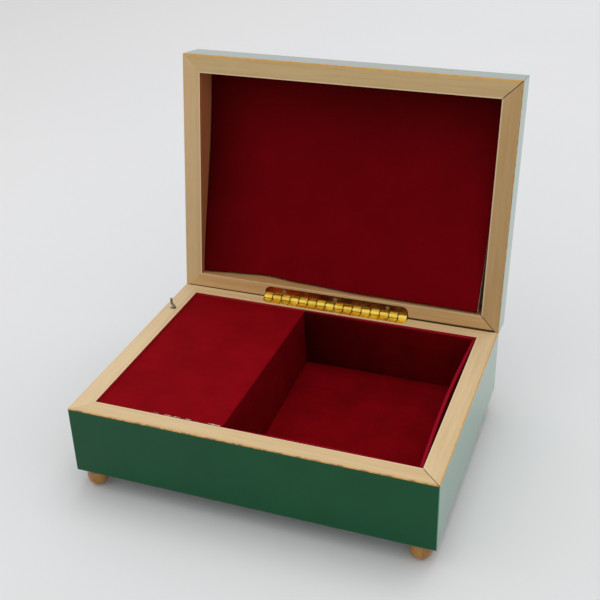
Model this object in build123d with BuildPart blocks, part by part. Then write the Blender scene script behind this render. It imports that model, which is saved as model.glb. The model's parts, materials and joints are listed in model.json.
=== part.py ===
from build123d import *
from math import atan2, cos, degrees, hypot, pi, radians, sin, sqrt
import os

os.makedirs("parts", exist_ok=True)

# Wound music box with a hinged lid: one wooden box, sawn into body and lid, on four ball feet.
# X runs along the length, Y from front to back and Z up, with the feet standing at Z = 0.
# The lid is modelled open on its stop, and the origin is below the middle of that open shape.

# The box that body and lid are sawn from
box_length = 160.0
box_depth = 117.9
body_height = 32.6
lid_height = 18.0
rail_thickness = 8.6
corner_round = 0.6
base_edge_round = 1.2
lid_edge_round = 3.0
base_thickness = 2.5
lid_panel_thickness = 3.5

# Lid opening
open_angle = 98.1
hinge_inset = 1.6
stop_ease = 0.15
rim_ease = 0.25

# Turned ball feet
ball_radius = 4.8
ball_neck_radius = 3.05
ball_flat_depth = 0.2
foot_spigot_radius = 1.5
foot_spigot_length = 2.0
foot_inset_x = 7.2
foot_inset_y = 5.2
ball_bands = 8

# Brass piano hinge
hinge_length = 73.4
hinge_leaf_width = 5.5
hinge_leaf_thickness = 0.5
hinge_leaf_round = 3.2
knuckle_radius = 1.6
knuckle_count = 16
hinge_pin_radius = 0.6
hinge_nail_spacing = 26.5
hinge_nail_setback = 3.7
hinge_nail_radius = 0.5
hinge_nail_head_radius = 1.0
hinge_nail_length = 4.5
pin_hole_sides = 8

# Compartments and their linings
divider_thickness = 3.0
movement_room = 57.1
lining_thickness = 1.2
floor_lining_thickness = 1.0
divider_lining_lean = 6.3
lining_drop = 0.5
front_lining_bow = 0.9
right_lining_bow = 2.2
cover_thickness = 2.0
cover_drop = 0.7
cover_edge_round = 0.6
ledge_width = 4.0
ledge_height = 3.0
ledge_chamfer = 1.5

# Lid liner: depths of its lower edge below the lid's rim, at places along the lid
liner_thickness = 1.4
liner_left_depth = 2.4
liner_belly = [(-55.0, 5.6), (-40.0, 8.0), (-20.0, 4.9), (14.0, 1.9), (40.0, 1.5)]
liner_right_depth = 0.9
liner_right_gap = 2.0

# Stop wire, its bracket and its spring
wire_radius = 0.6
wire_rise = 5.2
wire_crank = 1.4
wire_inset = 5.2
wire_y = 32.6
wire_arm_drop = 8.2
wire_bend = 1.1
wire_hook = 2.8
wire_sides = 8
spring_setback = 2.5
spring_coil_radius = 1.35
spring_wire_radius = 0.18
spring_wire_sides = 6
spring_turns = 4
bracket_thickness = 0.8
bracket_width = 6.0
bracket_drop = 17.0
bracket_plate_height = 8.0
bracket_reach = 5.0
peg_radius = 0.8
peg_height = 2.2
bracket_screw_head_radius = 1.2
bracket_screw_head_height = 0.6
bracket_screw_drop = 5.0
bracket_screw_spacing = 3.0

# Movement: bedplate, barrel and winding arbor
bed_length = 55.0
bed_width = 40.0
bed_thickness = 2.0
bed_round = 2.5
bed_screw_inset = 4.0
bed_left_margin = 18.0
bed_front_margin = 12.0
barrel_setback = 23.4
barrel_y = -8.0
barrel_radius = 10.5
barrel_wall = 1.7
barrel_height = 9.6
barrel_lift = 0.4
barrel_floor = 0.8
barrel_cap_thickness = 1.0
crown_teeth = 36
crown_tooth_height = 1.3
crown_tooth_root = 0.72
crown_tooth_tip = 0.34
crown_addendum = 0.6
arbor_radius = 2.0
arbor_core_radius = 2.5
arbor_pivot_radius = 1.0
arbor_thread_radius = 1.6
spring_strip = 0.25
spring_strip_height = 6.5
spring_inner_radius = 3.8
spring_half_turn_step = 0.65
spring_half_turns = 6
key_clearance = 1.2
key_height = 6.6
key_span = 23.0
key_thickness = 1.2
key_hub_radius = 3.0
key_wing_round = 3.0
key_eye_radius = 1.6
key_eye_spacing = 15.4
arbor_hole_radius = 4.2

# Bridge over the barrel
bridge_width = 6.0
bridge_thickness = 1.4
bridge_gap = 1.0
bearing_width = 4.0
bridge_foot = 3.0

# Pinned cylinder and its gears
drive_pinion_teeth = 10
pinion_addendum = 0.5
pinion_root_depth = 0.75
pinion_tooth_width = 0.6
pinion_tip_width = 0.34
pinion_face = 2.0
cylinder_radius = 6.5
cylinder_wall = 0.6
cylinder_length = 19.0
cylinder_gap = 3.2
cylinder_arbor_radius = 1.0
pin_width = 0.3
pin_height = 0.8
tracks = 18
track_pitch = 1.0
pins_per_track = 2
pin_turn_per_track = 137.5
gear_module = 0.4
gear_teeth = 32
gear_face = 1.2
gear_gap = 1.5
wheel_gap = 0.9
wheel_bearing_angle = 45.0
governor_pinion_teeth = 8
governor_wheel_teeth = 28
gear_addendum = 0.34
gear_dedendum = 0.44
gear_tooth_width = 0.42
gear_tip_width = 0.22
tooth_start_share = 0.9

# Governor: frame, stud, spindle and fan
stud_radius = 0.7
stud_boss_radius = 1.4
spindle_radius = 0.55
worm_pitch_radius = 1.1
fan_radius = 4.5
fan_top_gap = 0.8
fan_thickness = 0.5
fan_gap = 1.0
fan_hub_radius = 1.1
frame_thickness = 1.5
frame_gap = 0.5
frame_top_gap = 1.3
frame_margin = 4.0
frame_arm_radius = 4.0
frame_shoulder_low = 3.0
frame_shoulder_high = 5.0
frame_shoulder_width = 3.0
frame_head_width = 5.0

# Steel comb on its cast base
comb_thickness = 1.0
comb_gap = 0.3
comb_slot = 0.22
comb_bass_length = 14.0
comb_treble_length = 8.6
comb_reach = 27.4
comb_base_set_back = 0.5
comb_weights = 9
comb_weight_length = 3.2
comb_weight_height = 1.5
comb_weight_setback = 0.6
comb_weight_taper = 0.6
comb_end_margin = 0.5
comb_screw_inset = 2.6
comb_screw_spacing = 7.5
comb_screw_depth = 4.0
comb_hole_depth = 5.0
screw_radius = 0.9
screw_head_radius = 1.8
screw_head_height = 1.1

# Clearances
slide_clearance = 0.3
card_clearance = 0.2
running_clearance = 0.05
fixing_clearance = 0.03
knuckle_gap = 0.3
cut_margin = 1.0

# Heights and places that follow from the sizes above
ball_neck_height = sqrt(ball_radius**2 - ball_neck_radius**2)
foot_centre_z = ball_radius - ball_flat_depth
underside_z = foot_centre_z + ball_neck_height
floor_z = underside_z + base_thickness
rim_z = underside_z + body_height
inner_length = box_length - 2 * rail_thickness
inner_depth = box_depth - 2 * rail_thickness
axis_setback = box_depth / 2 - hinge_inset
lean = radians(open_angle - 90)
lid_back_reach = (
    sin(lean) * (box_depth - hinge_inset - lid_edge_round)
    + cos(lean) * (lid_height - lid_edge_round)
    + lid_edge_round
)
divider_right_x = movement_room - inner_length / 2
divider_lining_foot_x = divider_right_x + divider_lining_lean
wire_x = wire_inset - box_length / 2
spring_x = spring_setback - inner_length / 2
barrel_x = barrel_setback - inner_length / 2
body_y = -(axis_setback + lid_back_reach - box_depth / 2) / 2
axis_y = body_y + axis_setback
lid_up = (0, sin(radians(open_angle)), cos(radians(open_angle)))
hinge_plane = Plane((0, axis_y, rim_z), x_dir=(1, 0, 0), z_dir=lid_up)


def level(z):
    """Horizontal plane at height z, with its origin in the middle of the box."""
    return Plane((0, body_y, z))


def cross(x):
    """Upright plane across the box at x, from the hinge line: local x to the back, local y up."""
    return Plane((x, axis_y, rim_z), x_dir=(0, 1, 0), z_dir=(1, 0, 0))


def length_wise(y):
    """Upright plane along the box, y behind its middle: local x to the right, local y up from Z = 0."""
    return Plane((0, body_y + y, 0), x_dir=(1, 0, 0), z_dir=(0, -1, 0))


def lid_level(q):
    """Plane parallel to the lid's rim, q into the lid, with its origin in the middle of the lid."""
    return Plane(hinge_plane.from_local_coords((0, -axis_setback, q)), x_dir=(1, 0, 0), z_dir=lid_up)


def lid_cross(x):
    """Plane across the open lid at x: local x to the lid's back edge, local y out through its top."""
    y_dir = hinge_plane.y_dir
    return Plane(hinge_plane.from_local_coords((x, 0, 0)), x_dir=y_dir, z_dir=(1, 0, 0))


def movement(z, x=0.0, y=0.0):
    """Horizontal plane at height z, with its origin x and y from the winding arbor."""
    return Plane((barrel_x + x, body_y + barrel_y + y, z))


def train(y, x=0.0, z=0.0):
    """Upright plane y behind the winding arbor, facing back, centred on the cylinder's arbor."""
    centre = (barrel_x + x, body_y + barrel_y + y, cylinder_z + z)
    return Plane(centre, x_dir=(-1, 0, 0), z_dir=(0, 1, 0))


def finish(piece, name):
    """Label a finished piece and write it."""
    piece.part.label = name
    export_step(piece.part, f"parts/{name}.step")


# Body: a hollow block, round along its lower edges, mitred into four rails above a base panel.
# Its back rim is bevelled behind the hinge line, where the lid's bevel comes to rest.
stop_angle = open_angle / 2 + stop_ease
stop_drop = hinge_inset * sin(radians(stop_angle)) / cos(radians(stop_angle))
ease_run = rim_ease * cos(radians(stop_angle))
ease_drop = rim_ease * sin(radians(stop_angle))

with BuildPart() as body_blank:
    with BuildSketch(level(underside_z)):
        Rectangle(box_length, box_depth)
    extrude(amount=body_height)
    fillet(body_blank.faces().sort_by(Axis.Z)[0].edges(), base_edge_round)
    with BuildSketch(level(underside_z)):
        RectangleRounded(box_length, box_depth, corner_round)
    extrude(amount=body_height, mode=Mode.INTERSECT)
    with BuildSketch(level(floor_z)):
        Rectangle(inner_length, inner_depth)
    extrude(amount=body_height, mode=Mode.SUBTRACT)
    with BuildSketch(cross(-box_length / 2 - cut_margin)):
        Polygon(
            (-rim_ease, 0),
            (ease_run, -ease_drop),
            (hinge_inset, -stop_drop),
            (hinge_inset + cut_margin, -stop_drop),
            (hinge_inset + cut_margin, cut_margin),
            (-rim_ease, cut_margin),
            align=None,
        )
    extrude(amount=box_length + 2 * cut_margin, mode=Mode.SUBTRACT)

mitre_reach = rail_thickness + cut_margin
half_length = box_length / 2
half_depth = box_depth / 2


def mitre_outline(side):
    """Plan of one rail's share of the frame, bounded by the mitre lines at its two corners."""
    if side in ("front", "back"):
        sign = -1 if side == "front" else 1
        return [
            (-half_length, sign * half_depth),
            (half_length, sign * half_depth),
            (half_length - mitre_reach, sign * (half_depth - mitre_reach)),
            (-half_length + mitre_reach, sign * (half_depth - mitre_reach)),
        ]
    sign = -1 if side == "left" else 1
    return [
        (sign * half_length, -half_depth),
        (sign * half_length, half_depth),
        (sign * (half_length - mitre_reach), half_depth - mitre_reach),
        (sign * (half_length - mitre_reach), -half_depth + mitre_reach),
    ]


hinge_mortise_length = hinge_length + 2 * fixing_clearance
knuckle_room = knuckle_radius + knuckle_gap
leaf_top = running_clearance
mortise_depth = leaf_top + hinge_leaf_thickness
nail_places = [(-hinge_nail_spacing, 0), (0, 0), (hinge_nail_spacing, 0)]

# Front rail of the body
with BuildPart() as body_front_rail:
    add(body_blank.part)
    with BuildSketch(level(floor_z)):
        Polygon(*mitre_outline("front"), align=None)
    extrude(amount=body_height, mode=Mode.INTERSECT)
finish(body_front_rail, "body_front_rail")

# Right rail of the body
with BuildPart() as body_right_rail:
    add(body_blank.part)
    with BuildSketch(level(floor_z)):
        Polygon(*mitre_outline("right"), align=None)
    extrude(amount=body_height, mode=Mode.INTERSECT)
finish(body_right_rail, "body_right_rail")

# Left rail of the body, with the long hole that the stop wire rises through and its inner window
wire_arm_z = rim_z - wire_arm_drop
wire_hole_width = 2 * (wire_radius + slide_clearance)
wire_hole_left = wire_x - wire_crank - wire_radius - slide_clearance
wire_hole_right = wire_x + wire_radius + slide_clearance
wire_window_low = wire_arm_z - wire_rise - wire_radius - slide_clearance
wire_window_high = wire_arm_z + wire_bend + wire_radius

with BuildPart() as body_left_rail:
    add(body_blank.part)
    with BuildSketch(level(floor_z)):
        Polygon(*mitre_outline("left"), align=None)
    extrude(amount=body_height, mode=Mode.INTERSECT)
    with BuildSketch(level(wire_window_low)):
        with Locations(((wire_hole_left + wire_hole_right) / 2, wire_y)):
            SlotOverall(wire_hole_right - wire_hole_left, wire_hole_width)
    extrude(amount=body_height, mode=Mode.SUBTRACT)
    with BuildSketch(level(wire_window_low)):
        with Locations((wire_x, wire_y)):
            Rectangle(rail_thickness, wire_hole_width, align=(Align.MIN, Align.CENTER))
    extrude(amount=wire_window_high - wire_window_low, mode=Mode.SUBTRACT)
finish(body_left_rail, "body_left_rail")

# Back rail of the body, let in for the hinge leaf and its knuckles
with BuildPart() as body_back_rail:
    add(body_blank.part)
    with BuildSketch(level(floor_z)):
        Polygon(*mitre_outline("back"), align=None)
    extrude(amount=body_height, mode=Mode.INTERSECT)
    with BuildSketch(level(rim_z - mortise_depth)) as mortise:
        with Locations((0, axis_setback)):
            Rectangle(
                hinge_mortise_length,
                hinge_leaf_width + fixing_clearance,
                align=(Align.CENTER, Align.MAX),
            )
        fillet(mortise.vertices().group_by(Axis.Y)[0], hinge_leaf_round)
    extrude(amount=mortise_depth, mode=Mode.SUBTRACT)
    with BuildSketch(cross(-hinge_mortise_length / 2)):
        Circle(knuckle_room)
    extrude(amount=hinge_mortise_length, mode=Mode.SUBTRACT)
    with BuildSketch(level(rim_z - mortise_depth)):
        with Locations((0, axis_setback - hinge_nail_setback)):
            with Locations(*nail_places):
                Circle(hinge_nail_radius + fixing_clearance)
    extrude(amount=-hinge_nail_length, mode=Mode.SUBTRACT)
finish(body_back_rail, "body_back_rail")

# Base panel, bored for the feet, the winding arbor and the movement's screws
bed_centre_x = bed_width / 2 - bed_left_margin
bed_centre_y = bed_length / 2 - bed_front_margin
bed_screw_places = [
    (bed_centre_x - bed_width / 2 + bed_screw_inset, bed_centre_y + bed_length / 2 - bed_screw_inset),
    (bed_centre_x + bed_width / 2 - bed_screw_inset, bed_centre_y + bed_length / 2 - bed_screw_inset),
    (bed_centre_x + bed_width / 2 - bed_screw_inset, bed_centre_y - bed_length / 2 + bed_screw_inset),
]
foot_x = half_length - foot_inset_x
foot_y = half_depth - foot_inset_y

with BuildPart() as base_panel:
    add(body_blank.part)
    with BuildSketch(level(underside_z)):
        Rectangle(box_length, box_depth)
    extrude(amount=base_thickness, mode=Mode.INTERSECT)
    with BuildSketch(level(underside_z)):
        with GridLocations(2 * foot_x, 2 * foot_y, 2, 2):
            Circle(foot_spigot_radius + fixing_clearance)
    extrude(amount=foot_spigot_length + fixing_clearance, mode=Mode.SUBTRACT)
    with BuildSketch(movement(underside_z)):
        Circle(arbor_hole_radius)
        with Locations(*bed_screw_places):
            Circle(screw_radius + fixing_clearance)
    extrude(amount=base_thickness, mode=Mode.SUBTRACT)
finish(base_panel, "base_panel")

# Four turned ball feet, each with a spigot above and a small flat where it stands
flat_angle = degrees(atan2(sqrt(ball_radius**2 - foot_centre_z**2), foot_centre_z))
neck_angle = 180 - degrees(atan2(ball_neck_radius, ball_neck_height))
ball_profile = []
for band in range(ball_bands + 1):
    turned = radians(flat_angle + (neck_angle - flat_angle) * band / ball_bands)
    ball_profile.append((ball_radius * sin(turned), foot_centre_z - ball_radius * cos(turned)))

with BuildPart() as ball_feet:
    for x, y in ((-foot_x, -foot_y), (foot_x, -foot_y), (-foot_x, foot_y), (foot_x, foot_y)):
        with BuildSketch(Plane((x, body_y + y, 0), x_dir=(1, 0, 0), z_dir=(0, -1, 0))):
            Polygon(
                (0, 0),
                *ball_profile,
                (foot_spigot_radius, underside_z),
                (foot_spigot_radius, underside_z + foot_spigot_length),
                (0, underside_z + foot_spigot_length),
                align=None,
            )
        revolve(axis=Axis((x, body_y + y, 0), (0, 0, 1)))
finish(ball_feet, "ball_feet")

# Divider between the movement and the trinket compartment
cover_underside_z = rim_z - cover_drop - cover_thickness
with BuildPart() as divider:
    with BuildSketch(level(floor_z)):
        with Locations((divider_right_x, 0)):
            Rectangle(divider_thickness, inner_depth, align=(Align.MAX, Align.CENTER))
    extrude(amount=cover_underside_z - floor_z)
finish(divider, "divider")

# Ledge on the left rail that carries the movement cover
with BuildPart() as cover_ledge:
    with BuildSketch(level(cover_underside_z - ledge_height)):
        with Locations((-inner_length / 2, 0)):
            Rectangle(ledge_width, inner_depth - 2 * card_clearance, align=(Align.MIN, Align.CENTER))
    extrude(amount=ledge_height)
    chamfer(cover_ledge.edges().filter_by(Axis.Y).group_by(Axis.X)[-1].sort_by(Axis.Z)[0], ledge_chamfer)
finish(cover_ledge, "cover_ledge")

# Lift-out cover over the movement, covered card with a softened edge
cover_left = -inner_length / 2 + card_clearance
divider_lining_top_x = divider_right_x + fixing_clearance
cover_right = divider_lining_top_x + lining_thickness
with BuildPart() as movement_cover:
    with BuildSketch(level(cover_underside_z)):
        with Locations(((cover_left + cover_right) / 2, 0)):
            Rectangle(cover_right - cover_left, inner_depth - 2 * slide_clearance)
    extrude(amount=cover_thickness)
    fillet(movement_cover.faces().sort_by(Axis.Z)[-1].edges(), cover_edge_round)
finish(movement_cover, "movement_cover")

# Floor lining of the trinket compartment
floor_left = divider_right_x + card_clearance
floor_right = inner_length / 2 - card_clearance
with BuildPart() as floor_lining:
    with BuildSketch(level(floor_z)):
        with Locations(((floor_left + floor_right) / 2, 0)):
            Rectangle(floor_right - floor_left, inner_depth - 2 * card_clearance)
    extrude(amount=floor_lining_thickness)
finish(floor_lining, "floor_lining")

lining_foot_z = floor_z + floor_lining_thickness
lining_top_z = rim_z - lining_drop
lining_left = cover_right + card_clearance
wall_x = inner_length / 2
wall_y = inner_depth / 2

# Front lining, a covered card that bows a little off the rail
lining_middle_x = (lining_left + wall_x) / 2
with BuildPart() as front_lining:
    with BuildSketch(level(lining_foot_z)):
        with BuildLine():
            outer = ThreePointArc(
                (lining_left, -wall_y),
                (lining_middle_x, -wall_y + front_lining_bow),
                (wall_x - card_clearance, -wall_y),
            )
            inner = ThreePointArc(
                (lining_left, -wall_y + lining_thickness),
                (lining_middle_x, -wall_y + front_lining_bow + lining_thickness),
                (wall_x - card_clearance, -wall_y + lining_thickness),
            )
            Line(outer @ 0, inner @ 0)
            Line(outer @ 1, inner @ 1)
        make_face()
    extrude(amount=lining_top_z - lining_foot_z)
finish(front_lining, "front_lining")

# Back lining, flat against the back rail
with BuildPart() as back_lining:
    with BuildSketch(level(lining_foot_z)):
        with Locations((lining_left, wall_y)):
            Rectangle(
                wall_x - card_clearance - lining_left, lining_thickness, align=(Align.MIN, Align.MAX)
            )
    extrude(amount=lining_top_z - lining_foot_z)
finish(back_lining, "back_lining")

# Right lining, bowed well off the rail between its two ends
side_lining_y = wall_y - lining_thickness - card_clearance
with BuildPart() as right_lining:
    with BuildSketch(level(lining_foot_z)):
        with BuildLine():
            outer = ThreePointArc(
                (wall_x, -side_lining_y), (wall_x - right_lining_bow, 0), (wall_x, side_lining_y)
            )
            inner = ThreePointArc(
                (wall_x - lining_thickness, -side_lining_y),
                (wall_x - lining_thickness - right_lining_bow, 0),
                (wall_x - lining_thickness, side_lining_y),
            )
            Line(outer @ 0, inner @ 0)
            Line(outer @ 1, inner @ 1)
        make_face()
    extrude(amount=lining_top_z - lining_foot_z)
finish(right_lining, "right_lining")

# Divider lining, which leans from below the cover's edge out to its foot
divider_lining_end = side_lining_y - running_clearance
with BuildPart() as divider_lining:
    with BuildSketch(length_wise(divider_lining_end)):
        Polygon(
            (divider_lining_foot_x - lining_thickness, lining_foot_z),
            (divider_lining_foot_x, lining_foot_z),
            (divider_lining_top_x + lining_thickness, cover_underside_z - fixing_clearance),
            (divider_lining_top_x, cover_underside_z - fixing_clearance),
            align=None,
        )
    extrude(amount=2 * divider_lining_end)
finish(divider_lining, "divider_lining")

# Lid: the other part of the sawn box, open on its stop, mitred the same way below a top panel
lid_rail_height = lid_height - lid_panel_thickness
lid_normal = Axis(hinge_plane.origin, hinge_plane.z_dir)
with BuildPart() as lid_blank:
    with BuildSketch(lid_level(0)):
        Rectangle(box_length, box_depth)
    extrude(amount=lid_height)
    fillet(lid_blank.faces().sort_by(lid_normal)[-1].edges(), lid_edge_round)
    with BuildSketch(lid_level(0)):
        RectangleRounded(box_length, box_depth, corner_round)
    extrude(amount=lid_height, mode=Mode.INTERSECT)
    with BuildSketch(lid_level(0)):
        Rectangle(inner_length, inner_depth)
    extrude(amount=lid_rail_height, mode=Mode.SUBTRACT)
    with BuildSketch(lid_cross(-box_length / 2 - cut_margin)):
        Polygon(
            (-rim_ease, 0),
            (ease_run, ease_drop),
            (hinge_inset, stop_drop),
            (hinge_inset + cut_margin, stop_drop),
            (hinge_inset + cut_margin, -cut_margin),
            (-rim_ease, -cut_margin),
            align=None,
        )
    extrude(amount=box_length + 2 * cut_margin, mode=Mode.SUBTRACT)

for name in ("front", "left", "right"):
    with BuildPart() as lid_rail:
        add(lid_blank.part)
        with BuildSketch(lid_level(0)):
            Polygon(*mitre_outline(name), align=None)
        extrude(amount=lid_rail_height, mode=Mode.INTERSECT)
    finish(lid_rail, f"lid_{name}_rail")

# Back rail of the lid, let in for the hinge as the body's is
with BuildPart() as lid_back_rail:
    add(lid_blank.part)
    with BuildSketch(lid_level(0)):
        Polygon(*mitre_outline("back"), align=None)
    extrude(amount=lid_rail_height, mode=Mode.INTERSECT)
    with BuildSketch(lid_level(0)) as mortise:
        with Locations((0, axis_setback)):
            Rectangle(
                hinge_mortise_length,
                hinge_leaf_width + fixing_clearance,
                align=(Align.CENTER, Align.MAX),
            )
        fillet(mortise.vertices().group_by(Axis.Y)[0], hinge_leaf_round)
    extrude(amount=mortise_depth, mode=Mode.SUBTRACT)
    with BuildSketch(cross(-hinge_mortise_length / 2)):
        Circle(knuckle_room)
    extrude(amount=hinge_mortise_length, mode=Mode.SUBTRACT)
    with BuildSketch(lid_level(mortise_depth)):
        with Locations((0, axis_setback - hinge_nail_setback)):
            with Locations(*nail_places):
                Circle(hinge_nail_radius + fixing_clearance)
    extrude(amount=hinge_nail_length, mode=Mode.SUBTRACT)
finish(lid_back_rail, "lid_back_rail")

# Top panel of the lid
with BuildPart() as lid_top_panel:
    add(lid_blank.part)
    with BuildSketch(lid_level(lid_rail_height)):
        Rectangle(box_length, box_depth)
    extrude(amount=lid_panel_thickness, mode=Mode.INTERSECT)
finish(lid_top_panel, "lid_top_panel")

# Lid liner: a covered card sprung into the lid, deep at the front edge and bellied near the hinge
liner_left = -inner_length / 2 + slide_clearance
liner_right_low = inner_length / 2 - liner_right_gap
liner_right_high = inner_length / 2 - slide_clearance
liner_low_s = rail_thickness - hinge_inset + card_clearance
liner_high_s = liner_low_s + inner_depth - 2 * card_clearance
liner_high_q = lid_rail_height - slide_clearance - liner_thickness
liner_low = [(liner_left, liner_left_depth), *liner_belly, (liner_right_low, liner_right_depth)]
liner_high = [(x, liner_high_q) for x, q in liner_low[:-1]] + [(liner_right_high, liner_high_q)]

with BuildPart() as lid_liner:
    for s, points in ((liner_low_s, liner_low), (liner_high_s, liner_high)):
        origin = hinge_plane.from_local_coords((0, -s, 0))
        with BuildSketch(Plane(origin, x_dir=(1, 0, 0), z_dir=tuple(hinge_plane.y_dir))):
            with BuildLine():
                shown = Spline(*[(x, -q) for x, q in points])
                hidden = Spline(*[(x, -q - liner_thickness) for x, q in points])
                Line(shown @ 0, hidden @ 0)
                Line(shown @ 1, hidden @ 1)
            make_face()
    loft(ruled=True)
finish(lid_liner, "lid_liner")

# Hinge: two leaves with alternate knuckles about one pin
knuckle_pitch = hinge_length / knuckle_count
pin_hole_radius = hinge_pin_radius + running_clearance
nail_head_taper = degrees(atan2(hinge_nail_head_radius - hinge_nail_radius, hinge_leaf_thickness))


def knuckle_starts(first):
    """Left ends of every second knuckle, from the first or the second one."""
    return [-hinge_length / 2 + knuckle_pitch * i for i in range(first, knuckle_count, 2)]


with BuildPart() as hinge_body_leaf:
    with BuildSketch(level(rim_z - mortise_depth)) as leaf_plan:
        with Locations((0, axis_setback)):
            Rectangle(hinge_length, hinge_leaf_width, align=(Align.CENTER, Align.MAX))
        fillet(leaf_plan.vertices().group_by(Axis.Y)[0], hinge_leaf_round)
    extrude(amount=hinge_leaf_thickness)
    with BuildSketch(level(rim_z - leaf_top)):
        with Locations((0, axis_setback - hinge_nail_setback)):
            with Locations(*nail_places):
                Circle(hinge_nail_head_radius + fixing_clearance)
    extrude(amount=-hinge_leaf_thickness, taper=nail_head_taper, mode=Mode.SUBTRACT)
    for start in knuckle_starts(1):
        with BuildSketch(cross(start)):
            Circle(knuckle_room)
        extrude(amount=-knuckle_pitch - knuckle_gap, mode=Mode.SUBTRACT)
    for start in knuckle_starts(1):
        with BuildSketch(cross(start)):
            Circle(knuckle_radius)
        extrude(amount=knuckle_pitch - knuckle_gap)
    with BuildSketch(cross(-hinge_length / 2)):
        RegularPolygon(pin_hole_radius, pin_hole_sides, major_radius=False)
    extrude(amount=hinge_length, mode=Mode.SUBTRACT)
finish(hinge_body_leaf, "hinge_body_leaf")

with BuildPart() as hinge_lid_leaf:
    with BuildSketch(lid_level(leaf_top)) as leaf_plan:
        with Locations((0, axis_setback)):
            Rectangle(hinge_length, hinge_leaf_width, align=(Align.CENTER, Align.MAX))
        fillet(leaf_plan.vertices().group_by(Axis.Y)[0], hinge_leaf_round)
    extrude(amount=hinge_leaf_thickness)
    with BuildSketch(lid_level(leaf_top)):
        with Locations((0, axis_setback - hinge_nail_setback)):
            with Locations(*nail_places):
                Circle(hinge_nail_head_radius + fixing_clearance)
    extrude(amount=hinge_leaf_thickness, taper=nail_head_taper, mode=Mode.SUBTRACT)
    for start in knuckle_starts(0):
        with BuildSketch(cross(start + knuckle_pitch - knuckle_gap)):
            Circle(knuckle_room)
        extrude(amount=knuckle_pitch + knuckle_gap, mode=Mode.SUBTRACT)
    for start in knuckle_starts(0):
        with BuildSketch(cross(start)):
            Circle(knuckle_radius)
        extrude(amount=knuckle_pitch - knuckle_gap)
    with BuildSketch(cross(-hinge_length / 2)):
        RegularPolygon(pin_hole_radius, pin_hole_sides, major_radius=False)
    extrude(amount=hinge_length, mode=Mode.SUBTRACT)
finish(hinge_lid_leaf, "hinge_lid_leaf")

with BuildPart() as hinge_pin:
    with BuildSketch(cross(-hinge_length / 2)):
        Circle(hinge_pin_radius)
    extrude(amount=hinge_length - knuckle_gap)
finish(hinge_pin, "hinge_pin")

# Six countersunk nails, three in each leaf, flush with the leaf's face
for name, head_plane, shank_plane, into in (
    ("hinge_body_nails", level(rim_z - leaf_top), level(rim_z - mortise_depth), -1),
    ("hinge_lid_nails", lid_level(leaf_top), lid_level(mortise_depth), 1),
):
    with BuildPart() as nails:
        with BuildSketch(head_plane):
            with Locations((0, axis_setback - hinge_nail_setback)):
                with Locations(*nail_places):
                    Circle(hinge_nail_head_radius)
        extrude(amount=into * hinge_leaf_thickness, taper=nail_head_taper)
        with BuildSketch(shank_plane):
            with Locations((0, axis_setback - hinge_nail_setback)):
                with Locations(*nail_places):
                    Circle(hinge_nail_radius)
        extrude(amount=into * (hinge_nail_length - hinge_leaf_thickness))
    finish(nails, name)

# Stop wire: cranked top on the rim, leg down inside the left rail, arm in to the edge of the fan
crown_radius = barrel_radius - barrel_wall / 2
drive_pitch_radius = crown_radius * drive_pinion_teeth / crown_teeth
bed_top_z = floor_z + bed_thickness
barrel_low_z = bed_top_z + barrel_lift
barrel_top_z = barrel_low_z + barrel_height
cylinder_z = barrel_top_z + crown_tooth_height - crown_addendum + drive_pitch_radius
cylinder_start = crown_radius + pinion_face / 2 + cylinder_gap
gear_start = cylinder_start + cylinder_length + gear_gap
wheel_start = gear_start + gear_face + wheel_gap
gear_distance = gear_module * (gear_teeth + governor_pinion_teeth) / 2
governor_x = -gear_distance * sin(radians(wheel_bearing_angle))
governor_z = -gear_distance * cos(radians(wheel_bearing_angle))
spindle_x = governor_x - gear_module * governor_wheel_teeth / 2 - worm_pitch_radius
spindle_y = wheel_start + gear_face / 2
wheel_tip_radius = gear_module * governor_wheel_teeth / 2 + gear_addendum
fan_low_z = cylinder_z + governor_z + wheel_tip_radius + fan_gap
frame_top_z = cover_underside_z - frame_top_gap
fan_height = frame_top_z - frame_thickness - fan_top_gap - fan_low_z

fan_centre_x = barrel_x + spindle_x
fan_centre_y = barrel_y + spindle_y
to_wire_x = spring_x - fan_centre_x
to_wire_y = wire_y - fan_centre_y
to_wire = hypot(to_wire_x, to_wire_y)
arm_end_radius = fan_radius + wire_radius + slide_clearance
arm_end_x = fan_centre_x + to_wire_x / to_wire * arm_end_radius
arm_end_y = fan_centre_y + to_wire_y / to_wire * arm_end_radius

with BuildPart() as stop_wire:
    with BuildLine() as wire_line:
        FilletPolyline(
            (wire_x - wire_crank, body_y + wire_y, rim_z + wire_rise),
            (wire_x - wire_crank, body_y + wire_y, rim_z + wire_rise - wire_hook),
            (wire_x, body_y + wire_y, rim_z + wire_rise - wire_hook - wire_crank),
            (wire_x, body_y + wire_y, wire_arm_z),
            (spring_x, body_y + wire_y, wire_arm_z),
            (arm_end_x, body_y + arm_end_y, wire_arm_z),
            radius=wire_bend,
        )
    with BuildSketch(Plane(wire_line.line @ 0, z_dir=(0, 0, -1))):
        RegularPolygon(wire_radius, wire_sides)
    sweep()
finish(stop_wire, "stop_wire")

# Bracket on the left rail under the wire's arm, with the peg that centres the spring
bracket_z = rim_z - bracket_drop
with BuildPart() as stop_bracket:
    with BuildSketch(length_wise(wire_y + bracket_width / 2)):
        with Locations((-inner_length / 2, bracket_z)):
            Rectangle(bracket_thickness, bracket_plate_height, align=(Align.MIN, Align.MAX))
            Rectangle(bracket_reach, bracket_thickness, align=(Align.MIN, Align.MAX))
    extrude(amount=bracket_width)
    fillet(stop_bracket.edges().filter_by(Axis.Z).group_by(Axis.X)[-1], bracket_thickness)
    with BuildSketch(level(bracket_z)):
        with Locations((spring_x, wire_y)):
            Circle(peg_radius)
    extrude(amount=peg_height)
finish(stop_bracket, "stop_bracket")

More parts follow.
